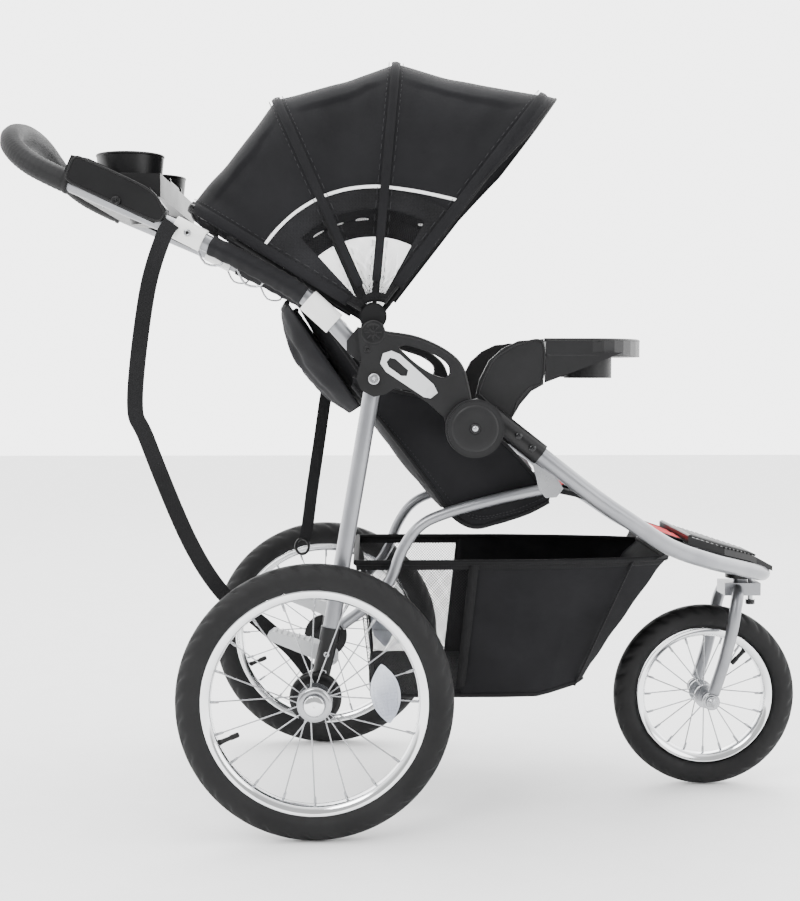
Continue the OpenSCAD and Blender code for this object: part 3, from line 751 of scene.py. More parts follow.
def seat_side(side):
    low, high = dense(WING_LOW, 60), dense(WING_HIGH, 60)

    def f(u, v):
        i = min(60, int(round(u * 60)))
        p = low[i].lerp(high[i], v)
        across = 0.1725 + 0.0018 * math.sin(math.pi * v) * math.sin(math.pi * u)
        fold = 0.0016 * math.sin(16 * (p.x * 3 + p.z * 2) + 2 * noise.noise(p * 8)) * math.sin(math.pi * v)
        return Vector((p.x, side * (across + fold + 0.0012 * noise.noise(p * 22)), p.z))
    tag = "left" if side > 0 else "right"
    grid("seat_side_" + tag, f, 60, 26, FABRIC, 0.0018, None, "frame")
    hem = [Vector((p.x, side * 0.1735, p.z)) for p in low]
    binding("seat_side_hem_" + tag, hem, 0.0034, WEBBING, "frame")
    binding("seat_side_edge_" + tag, [Vector((p.x, side * 0.1735, p.z)) for p in high], 0.0026, WEBBING,
            "frame")
    seam = [Vector((a.x, side * 0.1762, a.z)).lerp(Vector((b.x, side * 0.1762, b.z)), 0.10)
            for a, b in zip(low, high)]
    stitches("seat_side_seam_" + tag, dense(seam, 260), THREAD, "frame")
    stitches("seat_side_second_seam_" + tag, dense(mm([(60, side * 176.8, 470), (92, side * 176.8, 456),
             (140, side * 176.8, 464), (190, side * 176.8, 484)]), 160), THREAD, "frame")


def seat_hammock():
    """Fabric under the cushion, from side to side, with a soft belly."""
    line = dense(mm([(52, 0, 458), (66, 0, 446), (84, 0, 440), (104, 0, 441), (130, 0, 447), (164, 0, 461),
                     (190, 0, 472), (199, 0, 486)]), 40)

    def f(u, v):
        s = 2 * v - 1
        p = line[min(40, int(round(u * 40)))]
        return Vector((p.x, s * 0.1725, p.z - 0.004 * (1 - s ** 4) + 0.001 * noise.noise(Vector((u * 6,
                s * 6, 3)))))
    grid("seat_hammock", f, 40, 30, FABRIC, 0.0020, None, "frame")


def seat_to_back():
    """Cloth across the recline hinge, between the cushion and the back."""
    def f(u, v):
        s = 2 * v - 1
        low, mid, high = Vector((82, 0, 478)) * MM, Vector((58, 0, 468)) * MM, on_back(0.06, 0, 0.020)
        p = (low.lerp(mid, u)).lerp(mid.lerp(high, u), u)
        return Vector((p.x, s * 0.158, p.z + 0.002 * noise.noise(Vector((u * 4, s * 6, 0)))))
    piece = grid("seat_joining_cloth", f, 18, 30, FABRIC, 0.0025, None, None)
    apply_all(piece)
    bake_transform(piece, "frame", "seat_back", start=Vector((70, 0, 468)) * MM, end=on_back(0.045, 0, 0))


def harness():
    """Five-point harness: two shoulder pads, crotch strap, buckle and lap straps."""
    for s in (-1, 1):
        tag = "left" if s > 0 else "right"
        line = [on_back(x, y * s, z) for x, y, z in
                [(0.33, 0.052, 0.031), (0.26, 0.052, 0.040), (0.17, 0.048, 0.042), (0.10, 0.034, 0.046),
                 (0.062, 0.018, 0.058)]]
        strap("shoulder_strap_" + tag, [tuple(c / MM for c in p) for p in line], 25, 1.6, WEBBING,
                "seat_back",
              (0, 1, 0))
        pad = [on_back(x, y * s, z) for x, y, z in [(0.30, 0.052, 0.040), (0.24, 0.052, 0.046),
                (0.17, 0.049, 0.047)]]
        bm = bmesh.new()
        sweep_mesh(bm, catmull(pad, 10), lambda k, n: [
            (0.005 * math.copysign(abs(math.sin(a)) ** 0.5, math.sin(a)) * min(1,
                    0.4 + 3 * min(k, n - 1 - k) / n),
             0.021 * math.copysign(abs(math.cos(a)) ** 0.5, math.cos(a)))
            for a in [2 * math.pi * m / 20 for m in range(20)]], (0, 1, 0))
        finish_mesh("shoulder_pad_" + tag, bm, LINING, "seat_back")
        lap = [(92, 150 * s, 500), (102, 100 * s, 512), (112, 52 * s, 521), (118, 20 * s, 524)]
        strap("lap_strap_" + tag, lap, 25, 1.6, WEBBING, "frame", (0.2, 0, 1))
    crotch = strap("crotch_strap", [(150, 0, 499), (146, 0, 515), (132, 0, 524), (118, 0, 526)], 25, 1.6,
            WEBBING,
                   "frame", (0, 1, 0))
    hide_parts("harness")
    shell("harness_buckle", (118, 0, 529), (34, 42, 13), 0.35, LIGHT, "frame")
    shell("harness_button", (118, 0, 535.5), (18, 18, 3), 0.9, GREY, "frame")


def shell(name, centre, size, round_off, look, body, turn=(0, 0, 0)):
    """A moulded block with rounded edges."""
    bm = bmesh.new()
    bmesh.ops.create_cube(bm, size=1.0)
    for v in bm.verts:
        v.co = Vector((v.co.x * size[0], v.co.y * size[1], v.co.z * size[2])) * MM
    bmesh.ops.bevel(bm, geom=bm.edges[:], offset=min(size) * 0.5 * round_off * MM, segments=4, affect="EDGES",
                    profile=0.5)
    spin = Euler([math.radians(a) for a in turn]).to_matrix()
    for v in bm.verts:
        v.co = spin @ v.co + Vector(centre) * MM
    return finish_mesh(name, bm, look, body)


seat_back_pad()
seat_back_shell()
pan_pad()
seat_hammock()
seat_to_back()
for hand in (-1, 1):
    seat_side(hand)
harness()


# ---------------------------------------------------------------- calf panel
def calf_panel():
    """Cloth from the seat's front edge down to the footrest, black with a red middle."""
    line = dense(mm([(196, 0, 497), (258, 0, 481), (330, 0, 437), (378, 0, 416), (418, 0, 402)]), 60)

    def half(x):
        return min(0.168, 0.168 - max(0, x - 0.300) * 0.46)

    def f(u, v):
        s = 2 * v - 1
        p = line[min(60, int(round(u * 60)))]
        up = 0.003 * (1 - s * s) + 0.0015 * noise.noise(Vector((u * 7, s * 5, 2.2)))
        return Vector((p.x, s * half(p.x), p.z + up))
    cloth = grid("calf_cloth", f, 60, 60, FABRIC, 0.006, None, "frame")
    red = grid("calf_red_panel", lambda u, v: f(mix(0.10, 0.985, u),
            mix(0.10, 0.90, v)) + Vector((0.002, 0, 0.0046)),
               56, 56, RED, 0.002, None, "frame")
    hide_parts("calf_panel")
    modify(red, "BEVEL", width=0.0006, segments=2)
    for s in (0.10, 0.90):
        binding("calf_piping_" + ("right" if s < 0.5 else "left"),
                [f(mix(0.10, 0.985, k / 60), s) + Vector((0.002, 0, 0.005)) for k in range(61)], 0.0022,
                        WEBBING,
                "frame")
    for s in (0.0, 1.0):
        binding("calf_edge_" + ("right" if s < 0.5 else "left"), [f(k / 60, s) for k in range(61)], 0.0042,
                WEBBING, "frame")


# ---------------------------------------------------------------- basket


def basket_plan(t):
    """Point on the basket's plan for t from 0 to 1: up the right side, across the front, down the left, across
    the rear. Returns the top and the bottom corner."""
    loops = [((-92, -172), (-68, -166)), ((30, -173), (30, -170)), ((160, -172), (130, -170)),
             ((250, -160), (200, -164)), ((330, -144), (240, -150)), ((384, -124), (254, -130)),
             ((389, -60), (258, -66)), ((389, 0), (258, 0))]
    whole = loops + [((a[0], -a[1]), (b[0], -b[1])) for a, b in reversed(loops[:-1])]
    whole += [((-92, 60), (-70, 60)), ((-92, -60), (-70, -60))]
    at = (t % 1.0) * len(whole)
    i, k = int(at), at - int(at)
    a0, a1 = whole[i % len(whole)], whole[(i + 1) % len(whole)]
    top = Vector((mix(a0[0][0], a1[0][0], k), mix(a0[0][1], a1[0][1], k), 386)) * MM
    low = Vector((mix(a0[1][0], a1[1][0], k), mix(a0[1][1], a1[1][1], k), 0)) * MM
    low.z = (184 + 18 * max(0, (low.x / MM - 180) / 78)) * MM
    return top, low


def basket_wall(t, h, lift=0.0):
    """h is 0 at the rim and 1 at the bottom edge."""
    top, low = basket_plan(t)
    p = top.lerp(low, h)
    belly = math.sin(math.pi * min(1, h * 1.05)) * 0.006
    side = Vector((0, 1 if p.y > 0 else -1, 0)) if abs(p.y) > 0.12 else Vector((1 if p.x > 0 else -1, 0, 0))
    front = max(0.0, min(1.0, (p.x - 0.03) / 0.2))
    pleats = 0.0026 * front * math.sin(14 * (p.x * 3.0 + p.z * 5.5) + 2.5 * noise.noise(p * 7))
    wave = 0.0022 * noise.noise(p * 13) * (h > 0.02)
    edge = min(1, h * 9) * min(1, (1 - h) * 9)
    return p - side * (0.006 * edge + (belly * 0.3 + pleats + wave) * edge - lift)


def basket():
    def solid(u, v):
        x = basket_wall(u, v).x
        return x > 0.085 - 0.02 * v
    walls = grid("basket_cloth", basket_wall, 340, 34, FABRIC, 0.0016, solid, "frame")
    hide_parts("basket")
    net("basket_net", basket_wall, 900, 84, NET, 0.0010, "frame",
        keep=lambda u, v: basket_wall(u, v).x < 0.092 - 0.02 * v)

    def bottom(u, v):
        s = 2 * v - 1
        x = mix(-70, 257, u)
        half = 0.166 if x < 150 else 0.166 - 0.036 * ((x - 150) / 107) ** 1.5
        z = 184 + 18 * max(0, (x - 180) / 78)
        return Vector((x * MM, s * half, z * MM - 0.0015 * (1 - s ** 4) + 0.001 *
                noise.noise(Vector((u * 8, s * 6, 0)))))
    grid("basket_floor", bottom, 50, 44, LINING, 0.0030, None, "frame")
    rim = [basket_wall(k / 300, 0.0) for k in range(301)]
    binding("basket_rim", rim, 0.0042, WEBBING, "frame", (0, 0, 1))
    hem = [basket_wall(k / 300, 1.0, 0.0) for k in range(301)]
    binding("basket_bottom_binding", hem, 0.0030, WEBBING, "frame", (0, 0, 1))
    grid("basket_top_band", lambda u, v: basket_wall(u, 0.055 * v, 0.001), 340, 3, WEBBING, 0.0016, None,
                    "frame")
    for side in (-1, 1):
        tag = "left" if side > 0 else "right"
        seam = [Vector((mix(0.086, 0.064, h), side * 0.1726 * mix(1, 0.965, h), mix(0.386, 0.186, h)))
                for h in [k / 30 for k in range(31)]]
        bm = bmesh.new()
        sweep_mesh(bm, seam, lambda k, n: [(-0.0008, -0.007), (0.0008, -0.007), (0.0008, 0.007),
                (-0.0008, 0.007)],
                   (1, 0, 0))
        finish_mesh("basket_seam_band_" + tag, bm, WEBBING, "frame")
        edge = [Vector((mix(0.330, 0.240, h), side * mix(0.146, 0.151, h), mix(0.386, 0.194, h)))
                for h in [k / 30 for k in range(31)]]
        binding("basket_corner_seam_" + tag, edge, 0.0018, WEBBING, "frame")
        hangers = [[(-78, 172, 384), (-88, 174, 350), (-94, 174, 322)],
                [(372, 128, 384), (384, 152, 396), (386, 168, 402)]]
        for n, hanger in enumerate(hangers):
            if n == 1:
                strap(f"basket_hanger_{tag}_{n + 1}", [(x, y * side, z) for x, y, z in hanger], 18, 1.4,
                        WEBBING,
                      "frame", (1, 0, 0.2))


# ---------------------------------------------------------------- straps
def tether():
    """Wrist tether: webbing from the handle down to the axle; it bends as the frame folds."""
    route = [(-352, 244.5, 884), (-366, 244.5, 862), (-390, 244, 780), (-408, 243, 630), (-392, 240, 575),
             (-335, 230, 430), (-288, 212, 348), (-245, 178, 306), (-222, 168, 284), (-190, 160, 254),
             (-163, 150, 218)]
    piece = strap("tether_webbing", [(x, -y, z) for x, y, z in route], 23, 1.5, WEBBING, None,
                  (1, 0, 0.35), 10)
    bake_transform(piece, "handle", "legs", start=Vector((-400, -243, 700)) * MM,
            end=Vector((-200, -165, 262)) * MM)
    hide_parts("tether_strap")
    ring = bmesh.new()
    around = [Vector((-150, -150, 200)) * MM + Vector((math.cos(a) * 0.0105, 0, math.sin(a) * 0.0105))
              for a in [math.radians(20 * k) for k in range(19)]]
    sweep_mesh(ring, around, lambda k, n: [(-0.001, -0.0115), (0.001, -0.0115), (0.001, 0.0115),
            (-0.001, 0.0115)],
               (0, 1, 0), False)
    finish_mesh("tether_axle_loop", ring, WEBBING, "legs")


def recline_strap():
    route = [(-127, 0, 690), (-140, 0, 640), (-152, 0, 560), (-164, 0, 480), (-172, 0, 420), (-177, 0, 400)]
    piece = strap("recline_webbing", route, 19, 1.5, WEBBING, "seat_back", (1, 0, 0.1))
    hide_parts("recline_strap")
    bm = bmesh.new()
    loop = [Vector((-180, 0, 390)) * MM + Vector((math.sin(a) * 0.0105, 0, math.cos(a) * 0.0125))
            for a in [math.radians(15 * k) for k in range(25)]]
    sweep_mesh(bm, loop, lambda k, n: circle(0.0022, 12), (0, 1, 0), False)
    finish_mesh("recline_pull_ring", bm, BLACK, "seat_back")
    shell("recline_adjuster", (-131, 0, 672), (12, 30, 34), 0.35, BLACK, "seat_back",
            (0, -14, 0))
    shell("recline_adjuster_lever", (-140, 0, 676), (5, 24, 22), 0.6, GREY, "seat_back",
            (0, -30, 0))


calf_panel()
basket()
tether()
recline_strap()


# ---------------------------------------------------------------- frame tubes
REAR_X, REAR_Z = -0.150, 0.200              # rear axle
FRONT_X, FRONT_Z = 0.472, 0.147             # front axle
TRACK_HALF, REAR_R, FRONT_R = 0.280, 0.1998, 0.1468
FOLD_PIVOT, LEG_PIVOT = (0.079, 0.591), (-0.065, 0.6615)
BLADE = [(520, 22, 322), (514, 50, 314), (508, 60, 292), (503, 62, 262), (490, 61, 208), (475, 59, 160)]
FRONT_TUBE = [(150, 225, 573), (251, 224, 494), (312, 215, 452), (376, 192, 411), (446, 150, 384),
              (510, 84, 364), (553, 34, 350), (564, 0, 347)]
HANDLE_TUBE = [(-86, 225, 700), (-143, 225, 762), (-200, 225, 803), (-329, 225, 868), (-432, 223, 913),
               (-500, 220, 942), (-556, 210, 970), (-588, 188, 996), (-600, 150, 1018), (-603, 80, 1033),
               (-603, 0, 1037)]
SEAT_TUBE = [(190, 186, 498), (120, 186, 483), (41, 186, 461), (3, 186, 442), (-22, 186, 408),
        (-41, 186, 362),
             (-66, 186, 330), (-114, 186, 294)]


def tubes():
    """Smooth bent tubes of the front frame and the handle."""
    front = tube("front_frame_tube", mirrored(FRONT_TUBE), 12.5, TUBE, "frame",
            (0.6, 0, 0.8), 8, 32)
    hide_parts("front_tube")
    handle = tube("handle_frame_tube", mirrored(HANDLE_TUBE), 12.5, TUBE, "handle",
            (0.5, 0, 0.9), 8, 32)
    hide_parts("handle_bar")


def grip():
    """Soft sleeve over the crossbar with a raised pattern and end rings."""
    line = catmull(mm(mirrored(HANDLE_TUBE[5:])), 22)

    def outline(i, n):
        ends = min(i, n - 1 - i)
        out = []
        for k in range(36):
            a = 2 * math.pi * k / 36
            r = 16.4 + 0.55 * math.sin(i * 1.15 + 4 * a) * math.sin(i * 1.15 - 4 * a)
            if ends < 5:
                r = 15.6 + 1.4 * (ends in (1, 2, 3))
            out.append((r * MM * math.cos(a), r * MM * math.sin(a)))
        return out
    bm = bmesh.new()
    sweep_mesh(bm, line, outline, (0.5, 0, 0.9))
    piece = finish_mesh("grip_sleeve", bm, GRIP, "handle")
    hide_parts("grip")


def tube_sleeves():
    """Black fabric sleeves over the handle tube, between the collar and the bush."""
    for side in (-1, 1):
        tag = "left" if side > 0 else "right"
        line = catmull([(x * MM, side * 0.225, z * MM) for x, z in
                        [(-300, 854), (-262, 836), (-222, 815), (-190, 797), (-166, 781)]], 14)

        def outline(i, n):
            out = []
            for k in range(28):
                a = 2 * math.pi * k / 28
                r = 14.6 + 0.5 * math.sin(i *
                        0.9) + 0.5 * noise.noise(Vector((i * 0.35, math.cos(a) * 2, math.sin(a) * 2)))
                drop = 7.0 * max(0, -math.sin(a)) ** 6
                out.append((r * MM * math.cos(a), (r + drop) * MM * math.sin(a)))
            return out
        bm = bmesh.new()
        sweep_mesh(bm, line, outline, (0, 1, 0))
        finish_mesh("tube_sleeve_" + tag, bm, FABRIC, "handle")


# ---------------------------------------------------------------- wheels
def wheel_tyre(name, centre, radius, half, depth, body, node, blocks):
    """Tyre with a ribbed shoulder: curved sipes across the crown and a rim line on the wall."""
    c = Vector(centre)
    section = 40
    around = blocks * 12

    def f(u, v):
        a, b = 2 * math.pi * u, 2 * math.pi * v
        bx, by = math.cos(b), math.sin(b)
        r = radius - depth + depth * (abs(bx) ** 0.9) * math.copysign(1, bx)
        y = half * math.copysign(abs(by) ** 0.95, by)
        crown = max(0.0, bx)
        swoosh = math.sin(blocks * a + 2.6 * math.sin(b) * (1 if by > 0 else -1) * 2)
        groove = 0.0022 * (0.5 + 0.5 * math.tanh(7 * (swoosh - 0.5))) * max(0,
                min(1, 2.4 - abs(abs(by) - 0.66) * 7))
        centre_rib = 0.0012 * math.exp(-((abs(by) - 0.2) * 16) ** 2) * (bx > 0)
        wall = 0.0008 * math.exp(-((bx + 0.25) * 14) ** 2)
        r -= groove * (0.25 + crown) + centre_rib
        y *= 1 + (wall - groove * 0.7) / half
        return c + Vector((r * math.cos(a), y, r * math.sin(a)))
    bm = bmesh.new()
    v = [[bm.verts.new(f(i / around, j / section)) for j in range(section)] for i in range(around)]
    for i in range(around):
        for j in range(section):
            bm.faces.new((v[i][j], v[(i + 1) % around][j], v[(i + 1) % around][(j + 1) % section],
                          v[i][(j + 1) % section]))
    piece = finish_mesh(name, bm, TYRE, body)
    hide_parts(node)


def turned(name, centre, profile, axis, look, body, n=72):
    """Turned piece about an axis; profile is closed, as (radius, height) in mm."""
    axis = Vector(axis)
    one = axis.orthogonal().normalized()
    two = axis.cross(one)
    bm = bmesh.new()
    rings = []
    for k in range(n):
        a = 2 * math.pi * k / n
        out = one * math.cos(a) + two * math.sin(a)
        rings.append([bm.verts.new(Vector(centre) + (out * r + axis * h) * MM) for r, h in profile])
    for i in range(n):
        for j in range(len(profile)):
            bm.faces.new((rings[i][j], rings[(i + 1) % n][j], rings[(i + 1) % n][(j + 1) % len(profile)],
                          rings[i][(j + 1) % len(profile)]))
    return finish_mesh(name, bm, look, body)


def lathe(name, centre, profile, look, body, n=96, node=None):
    """Turned piece about the Y axis: profile is (radius, y) in mm, closed."""
    c = Vector(centre)
    bm = bmesh.new()
    turns = [2 * math.pi * k / n for k in range(n)]
    v = [[bm.verts.new(c + Vector((r * math.cos(a), y, r * math.sin(a))) * MM) for r, y in profile]
         for a in turns]
    m = len(profile)
    for i in range(n):
        for j in range(m):
            bm.faces.new((v[i][j], v[(i + 1) % n][j], v[(i + 1) % n][(j + 1) % m], v[i][(j + 1) % m]))
    piece = finish_mesh(name, bm, look, body)
    modify(piece, "BEVEL", width=0.0007, segments=2, limit_method="ANGLE", angle_limit=0.6)
    for f in piece.data.polygons:
        f.use_smooth = True
    if node:
        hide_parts(node)
    return piece


def rim_profile(r_in, r_out):
    """Box-section rim with hooked edges and a soft inner wall."""
    return [(r_in, -7), (r_in + 2.5, -10.5), (r_in + 8, -12.6), (r_out - 2, -13.6), (r_out, -12.8),
            (r_out - 1.5, -11.5),
            (r_out - 4, -9), (r_out - 5, 0), (r_out - 4, 9), (r_out - 1.5, 11.5), (r_out, 12.8),
                    (r_out - 2, 13.6),
            (r_in + 8, 12.6), (r_in + 2.5, 10.5), (r_in, 7), (r_in - 0.6, 0)]


def nipples(name, centre, r, count, body):
    """Spoke nipples where the spokes enter the rim."""
    c = Vector(centre)
    bm = bmesh.new()
    for k in range(count):
        a = 2 * math.pi * k / count
        out = Vector((math.cos(a), 0, math.sin(a)))
        base = c + out * r * MM + Vector((0, 0.002 * (1 if k % 2 == 0 else -1), 0))
        sweep_mesh(bm, [base - out * 0.012, base - out * 0.010, base + out * 0.0025],
                   lambda i, n: circle(0.0013 if i == 0 else 0.0020, 10), (0, 1, 0))
    finish_mesh(name, bm, STEEL, body)


def rear_wheel(side):
    """Tyre, rim, hub, valve and reflector of one rear wheel."""
    tag = "left" if side > 0 else "right"
    body, centre = "wheel_" + tag, (REAR_X, TRACK_HALF * side, REAR_Z)
    wheel_tyre("tyre_rubber_" + tag, centre, REAR_R, 0.0215, 0.0205, body, "tyre_" + tag, 40)
    lathe("rim_" + tag + "_chromed", centre, rim_profile(149, 164), CHROME, body, 128, "rim_" + tag)
    nipples("spoke_nipples_" + tag, centre, 149, 20, body)
    cap = [(0.2, -1), (14.5, -1), (15, 0), (14.2, 2.2), (9, 3.6), (0.2, 4.2)]
    lathe("hub_cap_" + tag, (REAR_X, 0.306 * side, REAR_Z), [(r, y * side) for r, y in cap],
          CHROME, body, 64)
    ring = [(15, -2), (21, -2), (24, -0.6), (24, 0.6), (21, 2), (15, 2)]
    lathe("hub_ring_" + tag, (REAR_X, 0.298 * side, REAR_Z), ring, STEEL, body, 64)
    valve(tag, centre, 203, 148, body)
    reflector(side, tag, body)


def valve(tag, centre, degrees, r, body):
    """Rubber valve stem with its cap, pointing to the hub."""
    a = math.radians(degrees)
    out = Vector((math.cos(a), 0, math.sin(a)))
    base = Vector(centre) + out * r * MM
    bm = bmesh.new()
    sweep_mesh(bm, [base, base - out * 0.004, base - out * 0.016, base - out * 0.017, base - out * 0.028,
            base - out * 0.030],
               lambda i, n: circle([0.0045, 0.0036, 0.0032, 0.0040, 0.0040, 0.003][i], 16), (0, 1, 0))
    finish_mesh("valve_" + tag, bm, BLACK, body)


def reflector(side, tag, body):
    """Lens-shaped spoke reflector with prism rows and a raised frame."""
    tilt = math.radians(8)
    along = Vector((math.cos(tilt), 0, math.sin(tilt)))
    up = Vector((-math.sin(tilt), 0, math.cos(tilt)))
    c = Vector((REAR_X, side * 0.289, REAR_Z)) + along * 0.102

    def f(u, v):
        s, w = 2 * u - 1, 2 * v - 1
        half = 0.020 * (1 - abs(s) ** 2.2) + 0.001
        prism = 0.0013 * abs(math.sin(s * 26)) * abs(math.sin(w * 11)) * (abs(w) < 0.8) * (abs(s) < 0.9)
        frame_edge = 0.0012 * (abs(w) > 0.84 or abs(s) > 0.93)
        dome = 0.002 * (1 - w * w) * (1 - s * s)
        return c + up * (s * 0.0425) + along * (w * half) + Vector((0, side * (dome + prism + frame_edge), 0))
    piece = grid("reflector_lens_" + tag, f, 90, 40, CLEAR, 0.003, None, body)
    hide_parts("reflector_" + tag)


def front_wheel():
    """Tyre, rim, nipples and valve of the front wheel."""
    centre = (FRONT_X, 0, FRONT_Z)
    wheel_tyre("tyre_rubber_front", centre, FRONT_R, 0.0195, 0.0185, "wheel_front", "tyre_front", 32)
    lathe("rim_front_chromed", centre, rim_profile(97, 110), CHROME, "wheel_front", 112,
            "rim_front")
    nipples("spoke_nipples_front", centre, 97, 20, "wheel_front")
    valve("front", centre, 47, 97, "wheel_front")


tubes()
grip()
tube_sleeves()
for hand in (-1, 1):
    rear_wheel(hand)
front_wheel()


# ---------------------------------------------------------------- moulded parts
for node_name in ("parent_tray", "tray_lid", "child_tray", "tray_arms", "side_brackets", "pedal_left",
        "pedal_right",
                  "latch_left", "latch_right", "footrest", "steering_head", "tube_sockets", "ear_plates"):
    if node_name in frame["nodes"]:
        modify(frame["nodes"][node_name], "BEVEL", width=0.0011, segments=3, limit_method="ANGLE",
                angle_limit=0.7)


def dome(name, centre, r, h, axis, look, body, slot):
    steps = [(r * math.cos(t), h * math.sin(t)) for t in [math.pi / 2 * k / 6 for k in range(7)]]
    return turned(name, centre, [(0.05, -0.5), (r, -0.5)] + [(max(0.05, a), b) for a, b in steps], axis,
            look, body,
                  32)


def bolt(name, centre, r, axis, look, body, slot):
    """Round head with a hex socket ring."""
    turned(name, centre, [(r * 0.42, -0.5), (r, -0.5), (r, 0.9), (r * 0.82, 1.6), (r * 0.5, 1.7),
            (r * 0.42, 0.2)],
           axis, look, body, 36)
    dome(name + "_core", centre, r * 0.45, 0.5, axis, DARK_STEEL, body, slot)


def bead(name, outline, y, r, look, body):
    """Raised bead that follows a closed outline on a side face."""
    line = catmull(mm([(x, y, z) for x, z in outline + outline[:1]]), 8)
    tube(name, [Vector(p) / MM for p in line], r, look, body, (0, 1, 0), 1, 10)


def ring_z(name, x, y, z, r, wire, look, body):
    """Rolled lip round a cup."""
    loop = [(r + wire * math.cos(a), wire * math.sin(a)) for a in [2 * math.pi * k / 12 for k in range(12)]]
    turned(name, (x * MM, y * MM, z * MM), loop, (0, 0, 1), look, body, 96)


LOOP = [(-32, 706), (-20, 711), (0, 706), (24, 697), (42, 683), (44, 668), (34, 662), (16, 668), (-8, 684)]
PLATE_TOP = [(-84, 738), (-48, 731), (-10, 725), (20, 714), (45, 699), (60, 682), (68, 656), (72, 634)]


def brackets(side, tag):
    """Rims, bolts and canopy hub on one side bracket."""
    y = 261 * side
    bead("loop_rim_" + tag, LOOP, y - 1.9 * side, 2.0, BLACK, "frame")
    tube("bracket_brow_" + tag, [(x, y - 2.8 * side, z - 4) for x, z in PLATE_TOP], 3.4, BLACK, "frame",
         (0, 1, 0), 6, 12)
    for k, (x, z) in enumerate([(-74, 704), (64, 566)]):
        bolt(f"bracket_bolt_{k + 1}_{tag}", (x * MM, (y + 0.2 * side) * MM, z * MM), 5.2, (0, side, 0),
                BLACK, "frame",
             "black_plastic")
    hub = (-0.066, (y - 1.6 * side) * MM, 0.728)
    turned("canopy_hub_cap_" + tag, hub, [(3, -1), (17.5, -1), (17.5, 1.6), (15.5, 2.4), (13, 2.3),
            (12, 1.9), (4, 1.9),
                                         (3, 2.4)], (0, side, 0), BLACK, "frame")
    bm = bmesh.new()
    for k in range(8):
        a = 2 * math.pi * k / 8
        out = Vector((math.cos(a), 0, math.sin(a)))
        c = Vector(hub) + Vector((0, side * 0.0018, 0))
        sweep_mesh(bm, [c + out * 0.004, c + out * 0.0125], lambda i, n: circle(0.0009, 6), (0, 1, 0))
    finish_mesh("canopy_hub_teeth_" + tag, bm, GREY, "frame")


def discs(side, tag):
    """Dished face, washer and rivets of one fold disc."""
    c = (FOLD_PIVOT[0], 0.275 * side, FOLD_PIVOT[1])
    turned("disc_face_" + tag, c, [(7, -0.6), (31, -0.6), (33.5, -1.2), (36, -3.4), (36.4, -4.2),
            (34.5, -1.6),
                                   (33.2, 0.5), (30, 1.2), (20, 0.7), (9, 0.3), (7, 0.3)],
           (0, side, 0), GREY, "frame", 96)
    turned("disc_washer_" + tag, c, [(4.4, 0), (7.5, 0), (7.5, 1.4), (6.6, 2.0), (4.4, 2.0)], (0, side, 0),
            DARK_STEEL,
           "frame", 48)
    dome("disc_rivet_" + tag, (FOLD_PIVOT[0], 0.2777 * side, FOLD_PIVOT[1]), 4.3, 2.2, (0, side, 0), STEEL,
            "frame", "steel")
    for k, (x, z) in enumerate([(144, 579), (164, 561)]):
        dome(f"arm_rivet_{k + 1}_{tag}", (x * MM, 0.2437 * side, z * MM), 5.6, 2.6, (0, side, 0),
                DARK_STEEL, "frame",
             "black_plastic")
    turned("leg_pin_cap_" + tag, (LEG_PIVOT[0], 0.2652 * side, LEG_PIVOT[1]),
            [(0.2, -0.4), (8, -0.4), (8, 0.2), (6, 0.5), (3, 0.3),
                                                                  (0.2, 0.3)], (0, side, 0), STEEL,
                                                                          "frame", 48)


def trays(side, tag):
    """Cup lips, edges and bolts of both trays on one side."""
    ring_z("parent_cup_lip_" + tag, -429, 130 * side, 993, 48.8, 2.2, BLACK, "handle")
    ring_z("parent_cup_foot_" + tag, -429, 130 * side, 962, 47.4, 1.6, BLACK, "handle")
    bolt("cheek_bolt_" + tag, (-0.432, 0.2462 * side, 0.915), 6.6, (0, side, 0), BLACK, "handle",
            "black_plastic")
    bead("cheek_edge_" + tag, [(-500, 958), (-490, 976), (-470, 971), (-387, 932), (-366, 904), (-366, 893),
                               (-380, 888), (-440, 915), (-497, 942)], 243 * side, 1.7, BLACK, "handle")
    bolt("collar_bolt_" + tag, (-0.331, 0.2452 * side, 0.870), 5.2, (0, side, 0), STEEL, "handle", "steel")
    ring_z("child_cup_lip_" + tag, 262, 118 * side, 712.5, 34.8, 1.8, GREY, "child_tray")
    ring_z("child_cup_foot_" + tag, 262, 118 * side, 664, 34.6, 1.6, GREY, "child_tray")
    bead("arm_edge_" + tag, [(88, 640), (96, 662), (110, 688), (128, 702), (148, 712), (182, 715), (182, 658),
                             (164, 648), (146, 628), (132, 604)], 207.4 * side, 1.5, GREY, "frame")


def tray_rim():
    """Rolled rim round the child tray."""
    half = [(187, 207)] + [(256 + 100 * math.cos(math.radians(a)), 207 * math.sin(math.radians(a)))
                           for a in range(90, -1, -10)]
    loop = half + [(x, -y) for x, y in half[-2::-1]]
    tube("child_tray_rim", [(x - 2, y * 0.99, 718.5) for x, y in loop], 2.6, GREY, "child_tray",
         (0, 0, 1), 5, 12)
    tube("child_tray_low_rim", [(x - 1.5, y * 0.994, 696) for x, y in loop], 1.8, GREY, "child_tray",
         (0, 0, 1), 5, 10)


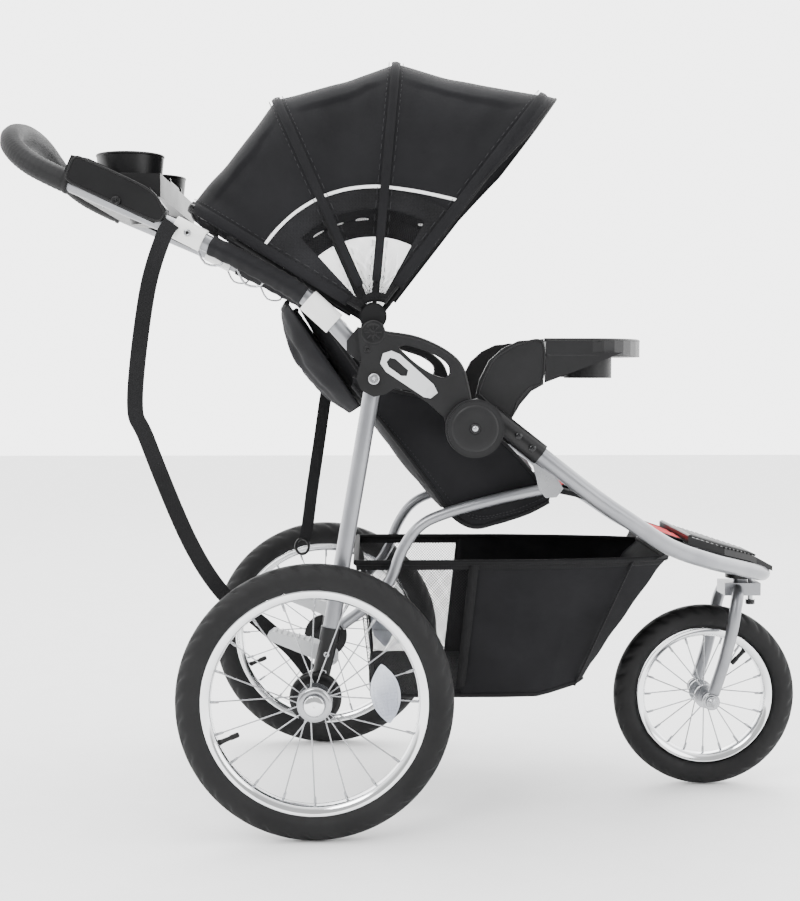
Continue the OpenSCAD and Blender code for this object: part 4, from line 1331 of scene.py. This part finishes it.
def footrest_tread():
    """Cross ribs on the sloping footrest, shorter towards the nose."""
    bm = bmesh.new()
    for k in range(15):
        x = 434 + k * 7.6
        z = 418 - (x - 420) * 0.32 if x < 470 else 402 - (x - 470) * 0.30
        half = 102 if x < 480 else 102 - (x - 480) * 0.86
        sweep_mesh(bm, [Vector((x, s * half, z - 0.4)) * MM for s in (-1, 1)], lambda i,
                n: circle(0.0017, 8), (0, 0, 1))
    finish_mesh("footrest_tread", bm, GREY, "frame")
    line = [(424, s, 417) for s in range(-112, 113, 28)]
    tube("footrest_edge", line, 3.0, BLACK, "frame", (0, 0, 1), 4, 12)


def pedals(side, tag):
    """Ribs, pin head and brake drum cover on one side."""
    bm = bmesh.new()
    for k in range(7):
        x, z = -160 - k * 8.2, 275.5 + k * 2.35
        sweep_mesh(bm, [Vector((x, side * y, z)) * MM for y in (179, 211)], lambda i, n: circle(0.0015, 8),
                (0, 0, 1))
    finish_mesh("pedal_ribs_" + tag, bm, LIGHT, "pedal_" + tag)
    turned("drum_cover_" + tag, (REAR_X, 0.2542 * side, REAR_Z),
            [(9, -0.5), (37, -0.5), (37.5, 0.6), (34, 2.0), (31, 0.8),
                                                                (22, 0.8), (20, 2.6), (11, 2.8), (9, 2)],
           (0, side, 0), BLACK, "legs")
    dome("pedal_pin_head_" + tag, (-0.128, 0.2283 * side, 0.250), 5.6, 2.4, (0, side, 0), STEEL, "legs",
            "steel")


def front_end():
    """Fork blades, axle nuts, steering cap and lock knob."""
    for side, tag in ((-1, "right"), (1, "left")):
        tube("fork_blade_" + tag, [(x, side * y, z) for x, y, z in BLADE], 9.6, TUBE, "fork",
                (1, 0, 0),
             7, 24)
        turned("dropout_washer_" + tag, (FRONT_X, 0.0596 * side, FRONT_Z),
                [(5, -0.4), (13.4, -0.4), (13.4, 1.0), (12, 1.8),
               (5, 1.8)], (0, side, 0), STEEL, "fork")
        turned("axle_nut_" + tag, (FRONT_X, 0.0615 * side, FRONT_Z),
                [(0.1, -0.4), (8.6, -0.4), (8.6, 4.2), (7.2, 6.0),
               (4.8, 6.2), (4.4, 8.6), (0.1, 9)], (0, side, 0), STEEL, "wheel_front", 6)
    turned("steering_cap", (0.530, 0, 0.360),
            [(0.1, -0.5), (20, -0.5), (22, 0.4), (20, 2.2), (12, 3.2), (8, 2.4),
                                              (0.1, 2.4)], (0, 0, 1), BLACK, "frame")
    turned("lock_knob_grip", (0.547, 0, 0.2945),
            [(6.8, 0), (7.6, 0.8), (7.6, 1.8), (7.0, 2.6), (7.6, 3.4), (7.6, 4.4),
                                                 (7.0, 5.2), (7.6, 6.0), (7.6, 7.0), (6.8, 7.6)],
                                                         (0, 0, 1), GREY,
           "lock_pin", 40)


def legs(side, tag):
    """Round tubes and boot bolts of one leg."""
    tube("leg_tube_" + tag, [(-63.4, 234 * side, 670), (-97, 234 * side, 475), (-131, 234 * side, 280)],
            12.2, TUBE,
         "legs", (0, 1, 0), 6, 32)
    tube("seat_side_tube_" + tag, [(x, y * side, z) for x, y, z in SEAT_TUBE], 8.3, TUBE, "seat_tubes",
                 (0, 1, 0), 8, 24)
    for k, (dx, dz) in enumerate([(0, 0), (-2.2, -13)]):
        bolt(f"boot_bolt_{k + 1}_{tag}", ((-134 + 2 * dx) * MM, 0.2472 * side, (262 + 2 * dz) * MM), 4.2,
                (0, side, 0),
             STEEL, "legs", "steel")


for hand, hand_tag in ((-1, "right"), (1, "left")):
    brackets(hand, hand_tag)
    discs(hand, hand_tag)
    trays(hand, hand_tag)
    pedals(hand, hand_tag)
    legs(hand, hand_tag)
tray_rim()
footrest_tread()
front_end()
